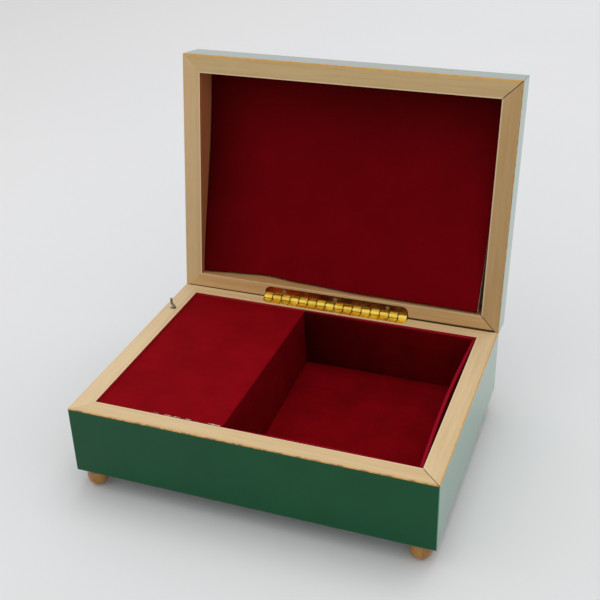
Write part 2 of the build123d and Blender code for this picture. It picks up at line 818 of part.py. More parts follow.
# Two small screws that hold the bracket to the rail
with BuildPart() as stop_bracket_screws:
    head_x = -inner_length / 2 + bracket_thickness
    screw_z = bracket_z - bracket_screw_drop
    with BuildSketch(Plane((head_x, body_y + wire_y, screw_z), x_dir=(0, 1, 0), z_dir=(1, 0, 0))):
        with GridLocations(bracket_screw_spacing, 0, 2, 1):
            Circle(bracket_screw_head_radius)
    extrude(amount=bracket_screw_head_height)
finish(stop_bracket_screws, "stop_bracket_screws")

# Coil spring on the peg, made of half-turn helix spans of two tangent arcs each
spring_low_z = bracket_z + spring_wire_radius + fixing_clearance
spring_high_z = wire_arm_z - wire_radius - spring_wire_radius - fixing_clearance
spring_pitch = (spring_high_z - spring_low_z) / spring_turns
coil_gap = spring_pitch - 2 * spring_wire_radius
print(f"stop spring: {spring_turns} turns, least gap between turns {coil_gap:.2f} mm")


def helix_point(turn):
    """Point and unit tangent of the coil's centre line after so many turns."""
    angle = 2 * pi * turn
    rise = spring_pitch / (2 * pi * spring_coil_radius)
    norm = sqrt(1 + rise**2)
    point = Vector(
        spring_x + spring_coil_radius * cos(angle),
        body_y + wire_y + spring_coil_radius * sin(angle),
        spring_low_z + spring_pitch * turn,
    )
    return point, Vector(-sin(angle) / norm, cos(angle) / norm, rise / norm)


def biarc_joint(start, start_way, end, end_way):
    """Joint of the two tangent arcs from start to end, and the direction in which they meet."""
    chord = end - start
    ways = start_way + end_way
    turn = 2 * (1 - start_way.dot(end_way))
    along = chord.dot(ways)
    reach = (-along + sqrt(along**2 + turn * chord.dot(chord))) / turn
    first = start + start_way * reach
    second = end - end_way * reach
    return (first + second) * 0.5, (second - first).normalized()


with BuildPart() as stop_spring:
    with BuildLine() as coil_line:
        for half in range(2 * spring_turns):
            start, start_way = helix_point(half / 2)
            end, end_way = helix_point((half + 1) / 2)
            joint, joint_way = biarc_joint(start, start_way, end, end_way)
            TangentArc(start, joint, tangent=start_way)
            TangentArc(joint, end, tangent=joint_way)
    with BuildSketch(Plane(helix_point(0)[0], z_dir=helix_point(0)[1])):
        RegularPolygon(spring_wire_radius, spring_wire_sides)
    sweep()
finish(stop_spring, "stop_spring")

# Movement bedplate
with BuildPart() as bedplate:
    with BuildSketch(movement(floor_z)):
        with Locations((bed_centre_x, bed_centre_y)):
            RectangleRounded(bed_width, bed_length, bed_round)
        Circle(arbor_radius + running_clearance, mode=Mode.SUBTRACT)
        with Locations(*bed_screw_places):
            Circle(screw_radius + fixing_clearance, mode=Mode.SUBTRACT)
    extrude(amount=bed_thickness)
finish(bedplate, "bedplate")

# Three screws that hold the bedplate from below
with BuildPart() as movement_screws:
    with BuildSketch(movement(underside_z)):
        with Locations(*bed_screw_places):
            Circle(screw_radius)
    extrude(amount=base_thickness + bed_thickness)
    with BuildSketch(movement(underside_z - screw_head_height)):
        with Locations(*bed_screw_places):
            Circle(screw_head_radius)
    extrude(amount=screw_head_height)
finish(movement_screws, "movement_screws")

# Spring barrel: cup with crown teeth round its upper edge
with BuildPart() as spring_barrel:
    with BuildSketch(movement(barrel_low_z)):
        Circle(barrel_radius)
        Circle(arbor_radius + running_clearance, mode=Mode.SUBTRACT)
    extrude(amount=barrel_height)
    with BuildSketch(movement(barrel_low_z + barrel_floor)):
        Circle(barrel_radius - barrel_wall)
    extrude(amount=barrel_height, mode=Mode.SUBTRACT)
    for i in range(crown_teeth):
        angle = 360 / crown_teeth * (i + 0.5)
        outward = Vector(cos(radians(angle)), sin(radians(angle)), 0)
        origin = movement(barrel_top_z).origin + outward * (barrel_radius - barrel_wall)
        with BuildSketch(Plane(origin, x_dir=(-outward.Y, outward.X, 0), z_dir=tuple(outward))):
            Polygon(
                (-crown_tooth_root / 2, 0),
                (crown_tooth_root / 2, 0),
                (crown_tooth_tip / 2, crown_tooth_height),
                (-crown_tooth_tip / 2, crown_tooth_height),
                align=None,
            )
        extrude(amount=barrel_wall)
finish(spring_barrel, "spring_barrel")

# Cap snapped into the barrel
with BuildPart() as barrel_cap:
    with BuildSketch(movement(barrel_top_z - barrel_cap_thickness)):
        Circle(barrel_radius - barrel_wall - fixing_clearance)
        Circle(arbor_pivot_radius + running_clearance, mode=Mode.SUBTRACT)
    extrude(amount=barrel_cap_thickness)
finish(barrel_cap, "barrel_cap")

# Mainspring: flat strip coiled in half turns about two centres side by side
spring_z = barrel_low_z + barrel_floor + (barrel_height - barrel_floor - barrel_cap_thickness) / 2
with BuildPart() as mainspring:
    with BuildSketch(movement(spring_z - spring_strip_height / 2)):
        with BuildLine():
            for shift in (0.0, spring_strip):
                for i in range(spring_half_turns):
                    radius = spring_inner_radius + spring_half_turn_step * i + shift
                    centre = spring_half_turn_step / 2 * (1 if i % 2 else -1)
                    side = -1 if i % 2 else 1
                    ThreePointArc(
                        (centre + side * radius, 0),
                        (centre, side * radius),
                        (centre - side * radius, 0),
                    )
            first = -spring_half_turn_step / 2 + spring_inner_radius
            Line((first, 0), (first + spring_strip, 0))
            last = spring_half_turns - 1
            last_radius = spring_inner_radius + spring_half_turn_step * last
            last_side = -1 if last % 2 else 1
            last_centre = spring_half_turn_step / 2 * (1 if last % 2 else -1)
            Line(
                (last_centre - last_side * last_radius, 0),
                (last_centre - last_side * (last_radius + spring_strip), 0),
            )
        make_face()
    extrude(amount=spring_strip_height)
finish(mainspring, "mainspring")

# Bridge over the barrel: strap on two legs, with bearings for both arbors
bridge_z = cylinder_z + cylinder_arbor_radius + bridge_gap
leg_inner = barrel_radius + bridge_gap
leg_outer = leg_inner + bridge_thickness
with BuildPart() as barrel_bridge:
    with BuildSketch(movement(bridge_z)):
        SlotOverall(2 * leg_outer + bridge_width, bridge_width)
        Rectangle(2 * leg_outer, bridge_width, mode=Mode.INTERSECT)
        Circle(arbor_pivot_radius + running_clearance, mode=Mode.SUBTRACT)
    extrude(amount=bridge_thickness)
    with BuildSketch(movement(bed_top_z)):
        with Locations((leg_inner, 0), (-leg_outer, 0)):
            Rectangle(bridge_thickness, bridge_width, align=(Align.MIN, Align.CENTER))
    extrude(amount=bridge_z - bed_top_z)
    with BuildSketch(movement(bed_top_z)):
        with Locations((leg_inner, -bridge_width / 2), (-leg_outer, -bridge_width / 2)):
            Rectangle(bridge_thickness, bridge_foot, align=(Align.MIN, Align.MAX))
    extrude(amount=bridge_thickness)
    with BuildSketch(train(bridge_width / 2)):
        with Locations((0, -cylinder_arbor_radius)):
            Rectangle(
                bearing_width,
                bridge_gap + 2 * cylinder_arbor_radius,
                align=(Align.CENTER, Align.MIN),
            )
        Circle(cylinder_arbor_radius + running_clearance, mode=Mode.SUBTRACT)
    extrude(amount=-bridge_thickness)
finish(barrel_bridge, "barrel_bridge")

# Winding arbor: threaded end, journal through the bedplate, core inside the barrel, top pivot
bridge_top_z = bridge_z + bridge_thickness
core_low_z = barrel_low_z + barrel_floor + running_clearance
core_high_z = barrel_top_z - barrel_cap_thickness - running_clearance
key_low_z = key_clearance
key_high_z = key_low_z + key_height
with BuildPart() as winding_arbor:
    with BuildSketch(movement(key_low_z)):
        Circle(arbor_thread_radius)
    extrude(amount=key_height)
    with BuildSketch(movement(key_high_z)):
        Circle(arbor_radius)
    extrude(amount=core_low_z - key_high_z)
    with BuildSketch(movement(core_low_z)):
        Circle(arbor_core_radius)
    extrude(amount=core_high_z - core_low_z)
    with BuildSketch(movement(core_high_z)):
        Circle(arbor_pivot_radius)
    extrude(amount=bridge_top_z - core_high_z)
finish(winding_arbor, "winding_arbor")

# Winding key: two flat wings on a threaded hub
with BuildPart() as winding_key:
    with BuildSketch(movement(key_low_z)):
        Circle(key_hub_radius)
    extrude(amount=key_height)
    with BuildSketch(Plane(movement(key_low_z + key_height / 2).origin, x_dir=(1, 0, 0), z_dir=(0, -1, 0))):
        RectangleRounded(key_span, key_height, key_wing_round)
        with GridLocations(key_eye_spacing, 0, 2, 1):
            Circle(key_eye_radius, mode=Mode.SUBTRACT)
    extrude(amount=key_thickness / 2, both=True)
    with BuildSketch(movement(key_low_z)):
        Circle(arbor_thread_radius + fixing_clearance)
    extrude(amount=key_height, mode=Mode.SUBTRACT)
finish(winding_key, "winding_key")


def tooth_points(root_radius, tip_radius, pitch_radius, width, tip_width):
    """Half outline of one straight-flanked tooth that points along local +X."""
    flank = (width - tip_width) / 2 / (tip_radius - pitch_radius)
    root_half = width / 2 + flank * (pitch_radius - root_radius)
    return [
        (root_radius * tooth_start_share, -root_half),
        (tip_radius, -tip_width / 2),
        (tip_radius, tip_width / 2),
        (root_radius * tooth_start_share, root_half),
    ]


# Drive pinion, turned by the crown teeth
drive_root_radius = drive_pitch_radius - pinion_root_depth
with BuildPart() as drive_pinion:
    with BuildSketch(train(crown_radius - pinion_face / 2)):
        Circle(drive_root_radius)
        with PolarLocations(0, drive_pinion_teeth, start_angle=-90):
            Polygon(
                *tooth_points(
                    drive_root_radius,
                    drive_pitch_radius + pinion_addendum,
                    drive_pitch_radius,
                    pinion_tooth_width,
                    pinion_tip_width,
                ),
                align=None,
            )
        Circle(cylinder_arbor_radius + fixing_clearance, mode=Mode.SUBTRACT)
    extrude(amount=pinion_face)
finish(drive_pinion, "drive_pinion")

# Cylinder: thin brass tube closed by two ends, with rows of square pins
with BuildPart() as cylinder:
    with BuildSketch(train(cylinder_start)):
        Circle(cylinder_radius)
        Circle(cylinder_arbor_radius + fixing_clearance, mode=Mode.SUBTRACT)
    extrude(amount=cylinder_length)
    with BuildSketch(train(cylinder_start + cylinder_wall)):
        Circle(cylinder_radius - cylinder_wall)
        Circle(cylinder_arbor_radius + cylinder_wall, mode=Mode.SUBTRACT)
    extrude(amount=cylinder_length - 2 * cylinder_wall, mode=Mode.SUBTRACT)
    track_margin = (cylinder_length - (tracks - 1) * track_pitch) / 2
    for track in range(tracks):
        start_y = cylinder_start + track_margin + track * track_pitch - pin_width / 2
        with BuildSketch(train(start_y)):
            with PolarLocations(cylinder_radius, pins_per_track, start_angle=pin_turn_per_track * track):
                Rectangle(2 * pin_height, pin_width)
            Circle(cylinder_radius - cylinder_wall / 2, mode=Mode.SUBTRACT)
        extrude(amount=pin_width)
finish(cylinder, "cylinder")

# Cylinder arbor, from the bridge to the governor frame
frame_start = wheel_start + gear_face / 2 + fan_radius + frame_gap
with BuildPart() as cylinder_arbor:
    with BuildSketch(train(bridge_width / 2 - bridge_thickness)):
        Circle(cylinder_arbor_radius)
    extrude(amount=frame_start + frame_thickness - bridge_width / 2 + bridge_thickness)
finish(cylinder_arbor, "cylinder_arbor")


def gear_outline(teeth, start_angle):
    """Straight-flanked gear in the open sketch, centred on the sketch origin."""
    pitch_radius = gear_module * teeth / 2
    Circle(pitch_radius - gear_dedendum)
    with PolarLocations(0, teeth, start_angle=start_angle):
        Polygon(
            *tooth_points(
                pitch_radius - gear_dedendum,
                pitch_radius + gear_addendum,
                pitch_radius,
                gear_tooth_width,
                gear_tip_width,
            ),
            align=None,
        )


# Cylinder gear, with a gap between teeth facing the governor pinion at rest
mesh_angle = degrees(atan2(governor_z, -governor_x))
with BuildPart() as cylinder_gear:
    with BuildSketch(train(gear_start)):
        gear_outline(gear_teeth, mesh_angle + 180 / gear_teeth)
        Circle(cylinder_arbor_radius + fixing_clearance, mode=Mode.SUBTRACT)
    extrude(amount=gear_face)
finish(cylinder_gear, "cylinder_gear")

# Governor wheel with its pinion in one piece, a pinion tooth facing the cylinder gear at rest
with BuildPart() as governor_wheel:
    with BuildSketch(train(gear_start - fixing_clearance, governor_x, governor_z)):
        gear_outline(governor_pinion_teeth, mesh_angle + 180)
    extrude(amount=wheel_start - gear_start + 2 * fixing_clearance)
    with BuildSketch(train(wheel_start, governor_x, governor_z)):
        gear_outline(governor_wheel_teeth, 0)
    extrude(amount=gear_face)
    with BuildSketch(train(gear_start - fixing_clearance, governor_x, governor_z)):
        Circle(stud_radius + running_clearance)
    extrude(amount=wheel_start + gear_face, mode=Mode.SUBTRACT)
finish(governor_wheel, "governor_wheel")

# Governor frame: upright plate with a foot and a top arm that carry the fan's spindle
frame_left = spindle_x - frame_margin
frame_right = frame_margin
with BuildPart() as governor_frame:
    with BuildSketch(Plane(movement(0, 0, frame_start).origin, x_dir=(1, 0, 0), z_dir=(0, -1, 0))):
        with BuildLine():
            Polyline(
                (frame_left, bed_top_z),
                (frame_right, bed_top_z),
                (frame_right, cylinder_z + frame_shoulder_low),
                (frame_right - frame_shoulder_width, cylinder_z + frame_shoulder_high),
                (spindle_x + frame_head_width, frame_top_z),
                (frame_left, frame_top_z),
                close=True,
            )
        make_face()
    extrude(amount=-frame_thickness)
    for z in (bed_top_z, frame_top_z - frame_thickness):
        with BuildSketch(movement(z, spindle_x, frame_start)):
            Rectangle(2 * frame_arm_radius, frame_start - spindle_y, align=(Align.CENTER, Align.MAX))
            with Locations((0, spindle_y - frame_start)):
                Circle(frame_arm_radius)
        extrude(amount=frame_thickness)
    with BuildSketch(train(frame_start, governor_x, governor_z)):
        Circle(stud_boss_radius)
    extrude(amount=-(frame_start - wheel_start - gear_face - running_clearance))
    with BuildSketch(train(0, governor_x, governor_z)):
        Circle(stud_radius + fixing_clearance)
    extrude(amount=frame_start + frame_thickness, mode=Mode.SUBTRACT)
    with BuildSketch(train(0)):
        Circle(cylinder_arbor_radius + running_clearance)
    extrude(amount=frame_start + frame_thickness, mode=Mode.SUBTRACT)
    with BuildSketch(movement(bed_top_z, spindle_x, spindle_y)):
        Circle(spindle_radius + running_clearance)
    extrude(amount=frame_top_z, mode=Mode.SUBTRACT)
finish(governor_frame, "governor_frame")

# Stud that the governor wheel turns on
with BuildPart() as governor_stud:
    with BuildSketch(train(gear_start, governor_x, governor_z)):
        Circle(stud_radius)
    extrude(amount=frame_start + frame_thickness - gear_start)
finish(governor_stud, "governor_stud")

# Fan: upright spindle with its two blades
with BuildPart() as fan_spindle:
    with BuildSketch(movement(bed_top_z, spindle_x, spindle_y)):
        Circle(spindle_radius)
    extrude(amount=frame_top_z - bed_top_z)
finish(fan_spindle, "fan_spindle")

with BuildPart() as fan:
    with BuildSketch(movement(fan_low_z, spindle_x, spindle_y)):
        Rectangle(2 * fan_radius - fan_thickness, fan_thickness)
        Circle(fan_hub_radius)
        Circle(spindle_radius + fixing_clearance, mode=Mode.SUBTRACT)
    extrude(amount=fan_height)
finish(fan, "fan")

# Steel comb: teeth that shorten towards the treble, with bass weights under the longest
comb_x = cylinder_radius + pin_height + comb_gap
comb_low_z = cylinder_z - comb_thickness / 2
comb_width = tracks * track_pitch + 2 * comb_end_margin
comb_front = cylinder_start + track_margin - track_pitch / 2 - comb_end_margin


def root_x(track):
    """Distance from the arbor's axis to the root of one tooth."""
    share = track / (tracks - 1)
    return comb_x + comb_bass_length + (comb_treble_length - comb_bass_length) * share


with BuildPart() as comb:
    with BuildSketch(movement(comb_low_z, 0, comb_front)):
        with Locations((comb_x, 0)):
            Rectangle(comb_reach - comb_x, comb_width, align=(Align.MIN, Align.MIN))
        for slot in range(tracks + 1):
            slot_end = root_x(min(slot, tracks - 1))
            with Locations((comb_x, comb_end_margin + slot * track_pitch)):
                Rectangle(slot_end - comb_x, comb_slot, align=(Align.MIN, Align.CENTER), mode=Mode.SUBTRACT)
        for edge, way in ((0, Align.MIN), (comb_width, Align.MAX)):
            with Locations((comb_x, edge)):
                Rectangle(comb_bass_length, comb_end_margin, align=(Align.MIN, way), mode=Mode.SUBTRACT)
    extrude(amount=comb_thickness)
    for track in range(comb_weights):
        length = comb_weight_length * (1 - comb_weight_taper * track / comb_weights)
        with BuildSketch(movement(comb_low_z - comb_weight_height, 0, comb_front)):
            with Locations((comb_x + comb_weight_setback, comb_end_margin + (track + 0.5) * track_pitch)):
                Rectangle(length, track_pitch - 2 * comb_slot, align=(Align.MIN, Align.CENTER))
        extrude(amount=comb_weight_height)
    with BuildSketch(movement(comb_low_z, 0, comb_front)):
        with Locations((comb_reach - comb_screw_inset, comb_width / 2)):
            with GridLocations(0, comb_screw_spacing, 1, 2):
                Circle(screw_radius + fixing_clearance)
    extrude(amount=comb_thickness, mode=Mode.SUBTRACT)
finish(comb, "comb")

# Cast comb base
with BuildPart() as comb_base:
    with BuildSketch(movement(bed_top_z, 0, comb_front)):
        Polygon(
            (root_x(0) + comb_base_set_back, 0),
            (comb_reach, 0),
            (comb_reach, comb_width),
            (root_x(tracks - 1) + comb_base_set_back, comb_width),
            align=None,
        )
    extrude(amount=comb_low_z - bed_top_z)
    with BuildSketch(movement(comb_low_z, 0, comb_front)):
        with Locations((comb_reach - comb_screw_inset, comb_width / 2)):
            with GridLocations(0, comb_screw_spacing, 1, 2):
                Circle(screw_radius + fixing_clearance)
    extrude(amount=-comb_hole_depth, mode=Mode.SUBTRACT)
finish(comb_base, "comb_base")

# Comb screws
with BuildPart() as comb_screws:
    with BuildSketch(movement(comb_low_z - comb_screw_depth, 0, comb_front)):
        with Locations((comb_reach - comb_screw_inset, comb_width / 2)):
            with GridLocations(0, comb_screw_spacing, 1, 2):
                Circle(screw_radius)
    extrude(amount=comb_screw_depth + comb_thickness)
    with BuildSketch(movement(comb_low_z + comb_thickness, 0, comb_front)):
        with Locations((comb_reach - comb_screw_inset, comb_width / 2)):
            with GridLocations(0, comb_screw_spacing, 1, 2):
                Circle(screw_head_radius)
    extrude(amount=screw_head_height)
finish(comb_screws, "comb_screws")

print(f"floor {floor_z:.3f} rim {rim_z:.3f} body_y {body_y:.3f} axis_y {axis_y:.3f}")
print(f"drive ratio {crown_teeth / drive_pinion_teeth:.3f}, cylinder axis height {cylinder_z:.3f}")
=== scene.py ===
import json
from math import cos, pi, radians, sin, sqrt

import bpy
from mathutils import Euler, Matrix, Vector, noise


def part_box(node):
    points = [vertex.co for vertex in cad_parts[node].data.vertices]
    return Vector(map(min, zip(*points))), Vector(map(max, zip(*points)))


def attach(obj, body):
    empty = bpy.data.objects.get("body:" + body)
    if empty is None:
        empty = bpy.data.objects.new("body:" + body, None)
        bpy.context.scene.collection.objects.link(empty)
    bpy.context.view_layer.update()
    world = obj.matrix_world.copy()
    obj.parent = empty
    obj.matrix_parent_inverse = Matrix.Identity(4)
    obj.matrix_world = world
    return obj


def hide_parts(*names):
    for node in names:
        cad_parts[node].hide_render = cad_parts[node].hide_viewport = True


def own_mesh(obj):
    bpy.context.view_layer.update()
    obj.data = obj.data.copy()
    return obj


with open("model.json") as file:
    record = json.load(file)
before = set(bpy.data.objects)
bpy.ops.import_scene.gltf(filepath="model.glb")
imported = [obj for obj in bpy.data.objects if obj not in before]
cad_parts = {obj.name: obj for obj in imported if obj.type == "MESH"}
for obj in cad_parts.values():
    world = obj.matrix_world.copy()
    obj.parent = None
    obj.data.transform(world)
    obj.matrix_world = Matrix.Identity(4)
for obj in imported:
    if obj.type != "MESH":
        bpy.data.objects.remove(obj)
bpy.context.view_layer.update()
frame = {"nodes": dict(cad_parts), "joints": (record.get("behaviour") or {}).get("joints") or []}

mm = 0.001

# Camera: the photograph was taken from the front right and above, with a short telephoto view.
# Its place from the box's front rim, its angle and its focal length come from a fit to the box's corners.
hinge = next(j for j in frame["joints"] if j["name"] == "lid_hinge")
hinge_place = Vector(hinge["pos_m"])
front_rim = Vector((0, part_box("body_front_rail")[0].y, hinge_place.z))
camera_place = front_rim + Vector((140.07, -296.81, 249.19)) * mm
camera_azimuth = radians(20.958)
camera_elevation = radians(29.314)
camera_roll = radians(-1.657)
focal_pixels = 1027.06
frame_pixels = 600

back = Vector(
    (
        sin(camera_azimuth) * cos(camera_elevation),
        -cos(camera_azimuth) * cos(camera_elevation),
        sin(camera_elevation),
    )
)
level_right = (-back).cross(Vector((0, 0, 1))).normalized()
level_up = level_right.cross(-back)
image_right = level_right * cos(camera_roll) + level_up * sin(camera_roll)
image_up = level_up * cos(camera_roll) - level_right * sin(camera_roll)
image_axes = Matrix((image_right, image_up, back)).transposed().to_4x4()
camera_data = bpy.data.cameras.new("camera")
camera_data.sensor_width = 36
camera_data.lens = camera_data.sensor_width * focal_pixels / frame_pixels
camera_data.clip_start = 0.01
camera = bpy.data.objects.new("camera", camera_data)
camera.matrix_world = Matrix.Translation(camera_place) @ image_axes
bpy.context.collection.objects.link(camera)
bpy.context.scene.camera = camera
bpy.context.scene.view_settings.view_transform = "Standard"


# Studio: a pale table top that runs far out of view, pale air all round, and one wide soft light above.
# The light stands a little behind, so the lid shades the back rim and the shadow falls to the front.
def give(node, inputs):
    """Sets a shader node's inputs, by place or name, to values or to other nodes' outputs."""
    for key, value in inputs.items():
        if isinstance(value, bpy.types.NodeSocket):
            node.id_data.links.new(value, node.inputs[key])
        else:
            node.inputs[key].default_value = value


def put(tree, kind, inputs=(), **settings):
    """One shader node with its settings and inputs. Gives its first output."""
    made = tree.nodes.new("ShaderNode" + kind)
    for name, value in settings.items():
        setattr(made, name, value)
    give(made, inputs if isinstance(inputs, dict) else dict(enumerate(inputs)))
    return made.outputs[0]


def work(tree, operation, *inputs):
    """A sum of numbers."""
    return put(tree, "Math", inputs, operation=operation)


def less(tree, value):
    """What is left of 1 after value is taken away."""
    return work(tree, "SUBTRACT", 1.0, value)


def fade(tree, value, start, end):
    """0 below start, 1 above end, and smooth between them."""
    return put(tree, "MapRange", (value, start, end), interpolation_type="SMOOTHSTEP")


def between(tree, share, first, second, blend="MIX"):
    """A colour between two others, or with blend MULTIPLY the first darkened by the second, in part."""
    inputs = {0: share, 6: first, 7: second}
    return put(tree, "Mix", inputs, data_type="RGBA", blend_type=blend).node.outputs[2]


def mottle(tree, place, scale, detail=2.0, roughness=0.5):
    """Soft irregular spots, 0 to 1. A scale of three numbers stretches them along x, y and z."""
    if isinstance(scale, tuple):
        place = put(tree, "Mapping", {0: place, 3: scale})
        scale = 1.0
    inputs = {"Vector": place, "Scale": scale, "Detail": detail, "Roughness": roughness}
    return put(tree, "TexNoise", inputs)


def place_at_rest(tree):
    """Where a point is at rest, in metres."""
    return put(tree, "TexCoord").node.outputs["Object"]


def colour(red, green, blue):
    """A colour as the eye reads it on a screen, 0 to 255, turned to the linear one that light uses."""
    straight_end = 10
    linear = []
    for level in (red, green, blue):
        share = level / 255
        linear.append(((share + 0.055) / 1.055) ** 2.4 if level > straight_end else share / 12.92)
    return (*linear, 1.0)


def new_finish(name):
    """A new material, its node tree and its surface shader."""
    material = bpy.data.materials.new(name)
    material.use_nodes = True
    return material, material.node_tree, material.node_tree.nodes["Principled BSDF"]


table_half = 3.0
table_corners = [(x * table_half, y * table_half, 0) for x, y in ((-1, -1), (1, -1), (1, 1), (-1, 1))]
table_mesh = bpy.data.meshes.new("table_top")
table_mesh.from_pydata(table_corners, [], [(0, 1, 2, 3)])
table = bpy.data.objects.new("table_top", table_mesh)
bpy.context.collection.objects.link(table)
table_finish, tree, shader = new_finish("table_paper")
place = place_at_rest(tree)
paper = between(tree, mottle(tree, place, 3.0, 3.0), colour(222, 223, 225), colour(230, 230, 231))
# The paper is painted darker towards the far left: painted shade.
toward_far_left = (-0.95, 0.3, 0.0)
far_left = put(tree, "VectorMath", (place, toward_far_left), operation="DOT_PRODUCT")
shade = fade(tree, far_left.node.outputs["Value"], 0.25, 0.95)
paper = between(tree, shade, paper, colour(214, 213, 214))
give(shader, {"Base Color": paper, "Roughness": 0.75, "Specular IOR Level": 0.2})
table_mesh.materials.append(table_finish)

lit_strength = 0.78
seen_strength = 0.85
air = bpy.data.worlds.new("pale_air")
air.use_nodes = True
tree = air.node_tree
rays = put(tree, "LightPath").node
seen = work(tree, "MAXIMUM", rays.outputs["Is Camera Ray"], rays.outputs["Is Glossy Ray"])
strength = put(tree, "Mix", {0: seen, 2: lit_strength, 3: seen_strength})
give(tree.nodes["Background"], {"Strength": strength, "Color": (1.0, 1.0, 1.0, 1.0)})
bpy.context.scene.world = air

toward_light = Vector((0.1, 0.25, 1.0))
sky_light = bpy.data.lights.new("sky_light", "SUN")
sky_light.energy = 0.75
sky_light.angle = radians(38)
sky_lamp = bpy.data.objects.new("sky_light", sky_light)
sky_lamp.rotation_euler = toward_light.to_track_quat("Z", "Y").to_euler()
bpy.context.collection.objects.link(sky_lamp)

# Body and lid: mitred limewood rails under a base board and a top board, one box sawn in two.
# The outside is lacquered green before the cut, so the two sawn rims show the bare pale wood.
open_angle = radians(98.1)
rail_thickness = 8.6 * mm
corner_round = 0.6 * mm
body_low = Vector((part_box("body_left_rail")[0].x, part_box("body_front_rail")[0].y, 0.0))
body_high = Vector((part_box("body_right_rail")[1].x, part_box("body_back_rail")[1].y, 0.0))
box_middle = (body_low + body_high) / 2
half_length = (body_high.x - body_low.x) / 2
half_depth = (body_high.y - body_low.y) / 2
inner_half_length = half_length - rail_thickness
inner_half_depth = half_depth - rail_thickness
axis_setback = hinge_place.y - box_middle.y
wood_pale = colour(224, 199, 158)
wood_deep = colour(208, 178, 130)
wood_fleck = colour(170, 128, 78)
wood_arris = colour(232, 212, 176)
rub_orange = colour(202, 150, 76)
rub_brown = colour(134, 96, 46)
joint_grime_and_shade = colour(52, 34, 20)
mitre_dark = colour(48, 32, 16)
lacquer_green = colour(0, 82, 45)
lacquer_deep = colour(0, 67, 37)
lacquer_painted_reflection = colour(70, 142, 108)


def dress(material, *nodes):
    """Gives CAD nodes a finish."""
    for node in nodes:
        for holder in frame["nodes"][node].material_slots:
            holder.material = material


def relief(tree, shader, height, strength, depth):
    """Small heights on a surface."""
    bump = put(tree, "Bump", {"Strength": strength, "Distance": depth, "Height": height})
    give(shader, {"Normal": bump})


def parts_of(tree, vector):
    """The x, y and z of a place."""
    return put(tree, "SeparateXYZ", (vector,)).node.outputs


def length_of(tree, x, y, z):
    """The length of a vector."""
    joined = put(tree, "CombineXYZ", (x, y, z))
    return put(tree, "VectorMath", (joined,), operation="LENGTH").node.outputs["Value"]


def from_box(tree, on_lid):
    """Place on the box as x, y from its middle and depth below the rim, for body or open lid."""
    at = place_at_rest(tree)
    if on_lid:
        turn = Euler((open_angle, 0, 0))
        shift = Vector((0, axis_setback, 0)) - turn.to_matrix() @ hinge_place
        return put(tree, "Mapping", {0: at, 1: shift, 2: turn})
    return put(tree, "Mapping", {0: at, 1: (0, -box_middle.y, hinge_place.z), 3: (1, 1, -1)})


def wood_grain(tree, place, lengthways, pale, deep, fleck):
    """Colour and height of close-grained wood whose fibres run along x, y or z of place."""

    def streaks(along, across, detail):
        scale = tuple(along if axis == lengthways else across for axis in "xyz")
        return mottle(tree, place, scale, detail)

    fibres = streaks(22, 420, 6.0)
    rings = streaks(3, 70, 2.0)
    pores = streaks(90, 3800, 1.0)
    tone = work(tree, "MULTIPLY_ADD", rings, 0.6, work(tree, "MULTIPLY", fibres, 0.5))
    ground = between(tree, fade(tree, tone, 0.38, 0.8), pale, deep)
    pit = work(tree, "MULTIPLY", fade(tree, pores, 0.63, 0.74), 0.3)
    height = work(tree, "SUBTRACT", fibres, work(tree, "MULTIPLY", pit, 0.8))
    return between(tree, pit, ground, fleck), height


